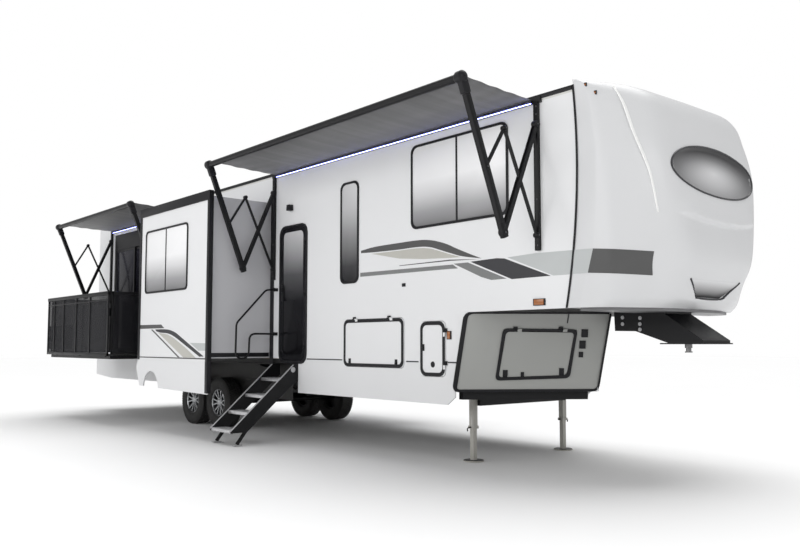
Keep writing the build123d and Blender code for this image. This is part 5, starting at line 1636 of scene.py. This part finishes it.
class BuildSteps(bpy.types.Operator):
    """Entry steps: bright tread plates, stringer edges and feet"""

    bl_idname = "trailer.steps"
    bl_label = "Entry steps"

    def execute(self, context):
        dress("black_aluminium", "entry_steps")
        rear, front, sill = STEPS
        nose, low = STEP_NOSE
        rise, run, depth = TREAD
        plates, edges = Shape(), Shape()
        ribs = []
        for number in range(4):
            y = nose + number * run
            z = low + number * rise
            plates.box(up(rear + 0.026, y - 0.003, z - 0.038), up(front - 0.026, y + 0.004, z + 0.002), 0.002)
            plates.box(up(rear + 0.026, y - 0.001, z - 0.001), up(front - 0.026, y + depth, z + 0.003), 0.001)
            ribs += [up((rear + front) / 2, y + 0.020 + 0.024 * n, z + 0.004) for n in range(8)]
        slope = Vector((0, -HALF - 0.050 - (nose - 0.012), sill - (low - 0.015)))
        for x in (rear, front - 0.025):
            start = Vector((x + 0.0125, nose - 0.012, low - 0.012))
            end = start + slope * 0.985
            edges.beam(up(*start), up(*end), 0.027, 0.006, rounding=0.001)
            foot = up(x + 0.0125, -2.125, 0.008)
            edges.box(foot - Vector((0.040, 0.055, 0.006)), foot + Vector((0.040, 0.055, 0.007)), 0.002)
        plates.piece("tread_plates", "brushed_tread", slot="step_metal")
        edges.piece("stringer_edges", "bright_edge", slot="step_metal")
        blocks("tread_grips", ribs, (front - rear - 0.07, 0.007, 0.004), "brushed_tread", slot="step_metal")
        cap = [(0.002, 0.0), (0.034, 0.0), (0.036, 0.004), (0.022, 0.010), (0.002, 0.011)]
        Shape().lathe(cap, 24, up(front, -HALF - 0.075, sill - 0.075), "x").piece(
            "step_pivot_caps", "bright_edge", slot="step_metal")
        return {"FINISHED"}


class BuildRunningGear(bpy.types.Operator):
    """Tyres with tread, spoked alloy rims, axles and springs"""

    bl_idname = "trailer.running_gear"
    bl_label = "Wheels and axles"

    def execute(self, context):
        dress("black_steel", "axles", "suspension")
        for name, x, side in WHEELS:
            self.tyre(name, x, side)
            self.rim(name, x, side)
        # Painted shade: black panels inside the wheels and above them darken the space under the slide and
        # the body
        shade_panels = Shape()
        reach = (AXLES[0] - 0.75, SLIDE[1] + 0.10)
        for side, _ in SIDES:
            shade_panels.side_box(side, reach, (0.905, 0.911), (0.50, 1.028), 0.001)
            shade_panels.side_box(side, reach, (0.905, 1.195), (1.014, 1.026), 0.001)
        shade_panels.piece("wheel_well_liners", "belly_sheet", slot="belly_sheet", smooth=False)
        return {"FINISHED"}

    def tyre(self, name, x, side):
        """Tyre body with shoulder steps, wall rings and tread blocks."""
        radius, half, bead_r = TYRE_R, 0.1175, 0.207
        depth = sizes().tread_depth
        crown = radius - depth
        wall = [(bead_r, 0.80), (bead_r + 0.012, 0.93), (bead_r + 0.05, 0.99), (radius - 0.080, 1.0),
                (radius - 0.045, 0.97), (radius - 0.020, 0.90), (crown - 0.002, 0.80), (crown, 0.5)]
        profile = [(r, -half * share) for r, share in wall] + [(crown, 0.0)]
        profile += [(r, half * share) for r, share in reversed(wall)]
        centre = up(x, side * (TRACK_OUT - half), radius)
        shape = Shape().lathe(profile, 96, centre)
        for r, d in ((bead_r + 0.030, 0.984), (radius - 0.062, 0.998)):
            for turn in (-1, 1):
                shape.lathe([(r - 0.003, turn * half * d), (r, turn * (half * d + 0.002)),
                             (r + 0.003, turn * half * d), (r, turn * (half * d - 0.002))], 72, centre)
        made = shape.piece("tyre_body_" + name, "rubber", "wheel_" + name, "tyre_rubber")
        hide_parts("tyre_" + name)
        points, turns = [], []
        lugs = 60
        reach = radius - depth / 2 - 0.001
        for index, offset in enumerate((-0.088, -0.046, 0.0, 0.046, 0.088)):
            for number in range(lugs):
                angle = math.tau * (number + 0.5 * (index % 2)) / lugs
                points.append(centre + Vector((math.cos(angle) * reach, offset, math.sin(angle) * reach)))
                turns.append((0, -angle, 0.0))
        blocks("tyre_tread_" + name, points, (depth + 0.002, 0.034, 0.033), "rubber", "wheel_" + name,
               "tyre_rubber", turns)

    def rim(self, name, x, side):
        """Alloy rim: dark barrel, machined lip and six split spokes round the hub cap."""
        outer = side * TRACK_OUT
        centre = up(x, 0, TYRE_R)

        def profile(*points):
            """Profile of points given by radius and depth behind the tyre's outer face."""
            return [(radius, outer - side * depth) for radius, depth in points]

        def spot(radius, angle, depth):
            """Point at a radius and an angle, at a depth behind the tyre's outer face."""
            return centre + Vector((radius * math.cos(angle), outer - side * depth, radius * math.sin(angle)))

        wall = profile((0.203, 0.030), (0.203, 0.200), (0.192, 0.200), (0.188, 0.060))
        disc = profile((0.004, 0.098), (0.192, 0.098), (0.192, 0.108), (0.004, 0.108))
        barrel = Shape().lathe(wall, 64, centre).lathe(disc, 48, centre)
        made = barrel.piece("rim_barrel_" + name, "pocket_paint", "wheel_" + name, "rim_alloy")
        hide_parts("rim_" + name)
        lip = profile((0.206, 0.030), (0.211, 0.018), (0.202, 0.014), (0.190, 0.026), (0.188, 0.044))
        face = Shape().lathe(lip, 72, centre)
        for number in range(6):
            for lean in (-1, 1):
                angle = math.pi / 3 * number + lean * 0.16
                tip = math.pi / 3 * number + lean * 0.24
                start = spot(0.062, angle, 0.052)
                face.beam(start, spot(0.193, tip, 0.036), 0.020, 0.022, rise=(0, 1, 0), rounding=0.004)
        hub = profile((0.003, 0.030), (0.040, 0.032), (0.046, 0.040), (0.074, 0.046), (0.078, 0.060),
                      (0.078, 0.100), (0.003, 0.100))
        face.lathe(hub, 40, centre)
        face.piece("rim_face_" + name, "machined_alloy", "wheel_" + name, "rim_alloy")
        nuts = [spot(0.060, math.pi / 3 * number + math.pi / 6, 0.042) for number in range(6)]
        studs("wheel_nuts_" + name, nuts, SIDEWAYS, 0.0095, 0.016, "machined_alloy", "wheel_" + name,
              "rim_alloy", 6)


class BuildChassis(bpy.types.Operator):
    """Frame with its lower cross-beam, bolted pin box, king pin and landing legs with their pins"""

    bl_idname = "trailer.chassis"
    bl_label = "Chassis and hitch"

    def execute(self, context):
        dress("black_steel", "chassis_frame", "pin_box")
        dress("greased_steel", "king_pin")
        dress("leg_enamel", "landing_legs")
        bolts = ((-0.585, 1.571), (-0.586, 1.505), (-0.379, 1.561), (-0.381, 1.501), (-0.382, 1.446))
        for side, where in SIDES:
            places = [up(x, side * 0.252, z) for x, z in bolts]
            for part, radius, height, sides in (("bolts", 0.014, 0.016, 6), ("washers", 0.019, 0.005, 24)):
                studs("pin_box_%s_%s" % (part, where), places, SIDEWAYS, radius, height, "bright_edge",
                      slot="black_steel", sides=sides)
        collars, pins, feet = Shape(), Shape(), Shape()
        for side, _ in SIDES:
            y = side * LEG_Y
            collars.prism([(LEG_X - 0.042, y - 0.042), (LEG_X + 0.042, y - 0.042), (LEG_X + 0.042, y + 0.042),
                           (LEG_X - 0.042, y + 0.042)], "z", 0.360 + GROUND, 0.392 + GROUND, 0.004)
            pins.sweep([up(LEG_X, y - 0.075, 0.376), up(LEG_X, y + 0.075, 0.376)], 0.008, 10)
            pins.sweep([up(LEG_X, y + side * 0.075, 0.376), up(LEG_X, y + side * 0.095, 0.362),
                        up(LEG_X, y + side * 0.092, 0.335)], 0.007, 8)
            foot = [(0.002, 0.012), (0.113, 0.012), (0.110, 0.0155), (0.002, 0.0155)]
            feet.lathe(foot, 48, up(LEG_X, y, 0), "z")
        feet.piece("leg_feet", "black_steel", slot="black_steel")
        collars.piece("leg_collars", "leg_enamel", slot="leg_steel")
        Shape().box(up(-2.190, -0.748, 0.612), up(-2.130, 0.748, 0.690), 0.003).piece(
            "leg_cross_beam", "black_steel", slot="black_steel", smooth=False)
        self.handle()
        pins.piece("leg_pins", "black_steel", slot="black_steel")
        return {"FINISHED"}
    def handle(self):
        """Bent tube of the folded grab handle, with the barrels it turns on."""
        bends = [Vector(point) for point in HANDLE]
        line = [bends[0]]
        for before, here, after in zip(bends, bends[1:], bends[2:]):
            line += bend(before, here, after, 0.045, 5)
        line.append(bends[-1])
        hinge_y = -1.275
        shape = Shape().sweep([up(HANDLE_X, hinge_y - out, z) for out, z in line], 0.0135, 16)
        for _, z in (bends[0], bends[-1]):
            shape.sweep([up(HANDLE_X, hinge_y, z - 0.026), up(HANDLE_X, hinge_y, z + 0.026)], 0.014, 16)
        made = shape.piece("grab_handle_tube", "black_aluminium", "grab_handle", "black_aluminium")
        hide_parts("grab_handle")


class BuildRoof(bpy.types.Operator):
    """Air conditioner shrouds and roof vents"""

    bl_idname = "trailer.roof"
    bl_label = "Roof fittings"

    def execute(self, context):
        dress("roof_plastic", "air_conditioners", "roof_vents")
        return {"FINISHED"}


class BuildLamps(bpy.types.Operator):
    """Marker and tail lamps and the small wall fittings"""

    bl_idname = "trailer.lamps"
    bl_label = "Lamps and fittings"

    def execute(self, context):
        lenses, bases, tails = Shape(), Shape(), Shape()
        for side, _ in SIDES:
            for x, z, long, tall in ((-0.857, 1.708, 0.120, 0.056), (-2.129, 1.397, 0.040, 0.080)):
                bases.side_box(side, (x - long / 2 - 0.016, x + long / 2 + 0.016), (HALF, HALF + 0.010),
                               (z - tall / 2 - 0.006, z + tall / 2 + 0.006), 0.004)
                lenses.side_box(side, (x - long / 2, x + long / 2), (HALF, HALF + 0.018),
                                (z - tall / 2, z + tall / 2), 0.005)
            lenses.side_box(side, (REAR + 0.135, REAR + 0.205), (HALF, HALF + 0.014), (1.278, 1.322), 0.004)
            tails.side_box(side, (REAR - 0.020, REAR + 0.002), (1.045, 1.135), (1.222, 1.478), 0.008)
            bases.side_box(side, (REAR - 0.010, REAR + 0.002), (1.031, 1.149), (1.208, 1.492), 0.004)
        made = lenses.piece("lamp_lenses", "amber_lens", slot="lamp_lens")
        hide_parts("lamps")
        tails.piece("tail_lenses", "red_lens", slot="lamp_lens")
        places = [up(REAR - 0.006, -0.9 + 0.45 * n, ROOF_REAR - 0.105) for n in range(5)]
        blocks("rear_clearance_lamps", places, (0.016, 0.085, 0.028), "red_lens", slot="lamp_lens")
        fittings = Shape()
        fittings.lathe([(0.002, 0.0), (0.034, 0.0), (0.034, -0.010), (0.026, -0.016), (0.002, -0.017)], 32,
                       up(-2.388, -HALF, 1.075))
        fittings.prism(raised([(-5.330, 3.150), (-5.255, 3.150), (-5.262, 3.232), (-5.322, 3.232)]), "y",
                       -HALF, -HALF - 0.075, 0.010)
        fittings.box(up(-2.915, -HALF - 0.012, 1.965), up(-2.860, -HALF, 2.005), 0.004)
        fittings.piece("wall_fittings", "black_trim")
        bases.piece("lamp_bases", "black_trim")
        return {"FINISHED"}


class BuildStage(bpy.types.Operator):
    """Pale floor, soft studio light and the camera"""

    bl_idname = "trailer.stage"
    bl_label = "Stage"

    def execute(self, context):
        scene = context.scene
        floor = Shape()
        reach, low = FLOOR_REACH, GROUND - 0.003
        floor.add([(-reach, -reach, low), (reach, -reach, low), (reach, reach, low), (-reach, reach, low)],
                  [(0, 1, 2, 3)])
        mesh = bpy.data.meshes.new("floor")
        floor.bm.to_mesh(mesh)
        floor.bm.free()
        mesh.materials.append(finish("stage_floor"))
        made = bpy.data.objects.new("floor", mesh)
        scene.collection.objects.link(made)
        world = bpy.data.worlds.new("studio")
        scene.world = world
        world.use_nodes = True
        nodes, links = world.node_tree.nodes, world.node_tree.links
        back = nodes["Background"]
        back.inputs["Color"].default_value = (*scene.trailer_colours.sky, 1.0)
        back.inputs["Strength"].default_value = WORLD_STRENGTH
        bright = nodes.new("ShaderNodeBackground")
        bright.inputs["Color"].default_value = (1.0, 1.0, 1.0, 1.0)
        seen = nodes.new("ShaderNodeLightPath")
        choice = nodes.new("ShaderNodeMixShader")
        links.new(seen.outputs["Is Camera Ray"], choice.inputs[0])
        links.new(back.outputs[0], choice.inputs[1])
        links.new(bright.outputs[0], choice.inputs[2])
        links.new(choice.outputs[0], nodes["World Output"].inputs["Surface"])
        energy, width, direction = OVERHEAD
        sky = bpy.data.lights.new("overhead", "SUN")
        sky.energy = energy
        sky.angle = math.radians(width)
        self.put("overhead", sky, (0, 0, 0), direction)
        for name, place, wide, deep, power, aim in AREA_LIGHTS:
            light = bpy.data.lights.new(name, "AREA")
            light.shape = "RECTANGLE"
            light.size = wide
            light.size_y = deep
            light.energy = power
            self.put(name, light, place, Vector(aim) - Vector(place)).visible_camera = False
        scene.view_settings.view_transform = "Standard"
        camera = bpy.data.cameras.new("camera")
        camera.lens = sizes().lens_height
        camera.sensor_width = SENSOR
        camera.clip_end = 5 * FLOOR_REACH
        yaw, pitch = math.radians(EYE_YAW), math.radians(EYE_PITCH)
        ahead = (-math.cos(yaw) * math.cos(pitch), math.sin(yaw) * math.cos(pitch), math.sin(pitch))
        eye = self.put("camera", camera, up(*EYE), ahead)
        scene.camera = eye
        return {"FINISHED"}

    def put(self, name, data, place, direction):
        """Light or camera at a place, turned to look in a direction."""
        made = bpy.data.objects.new(name, data)
        bpy.context.scene.collection.objects.link(made)
        made.location = place
        made.rotation_euler = Vector(direction).to_track_quat("-Z", "Y").to_euler()
        return made


class TrailerPanel(bpy.types.Panel):
    """Sizes, colours and buttons of the trailer"""

    bl_idname = "VIEW3D_PT_trailer"
    bl_label = "Fifth wheel trailer"
    bl_space_type = "VIEW_3D"
    bl_region_type = "UI"
    bl_category = "Trailer"

    def draw(self, context):
        for group in (context.scene.trailer_sizes, context.scene.trailer_colours):
            for name in group.bl_rna.properties.keys():
                if name not in ("rna_type", "name"):
                    self.layout.prop(group, name)
        for operator in OPERATORS:
            self.layout.operator(operator.bl_idname)


OPERATORS = (BuildWalls, BuildCap, BuildWindows, BuildDoors, BuildTub, BuildSlides, BuildAwnings, BuildPatio,
             BuildSteps, BuildRunningGear, BuildChassis, BuildRoof, BuildLamps, BuildStage)
CLASSES = (TrailerSizes, TrailerColours) + OPERATORS + (TrailerPanel,)


def register():
    for one in CLASSES:
        bpy.utils.register_class(one)
    bpy.types.Scene.trailer_sizes = PointerProperty(type=TrailerSizes)
    bpy.types.Scene.trailer_colours = PointerProperty(type=TrailerColours)


def unregister():
    del bpy.types.Scene.trailer_colours
    del bpy.types.Scene.trailer_sizes
    for one in reversed(CLASSES):
        bpy.utils.unregister_class(one)


def main():
    """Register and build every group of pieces."""
    register()
    for operator in OPERATORS:
        group, name = operator.bl_idname.split(".")
        getattr(getattr(bpy.ops, group), name)()


if __name__ == "__main__":
    main()
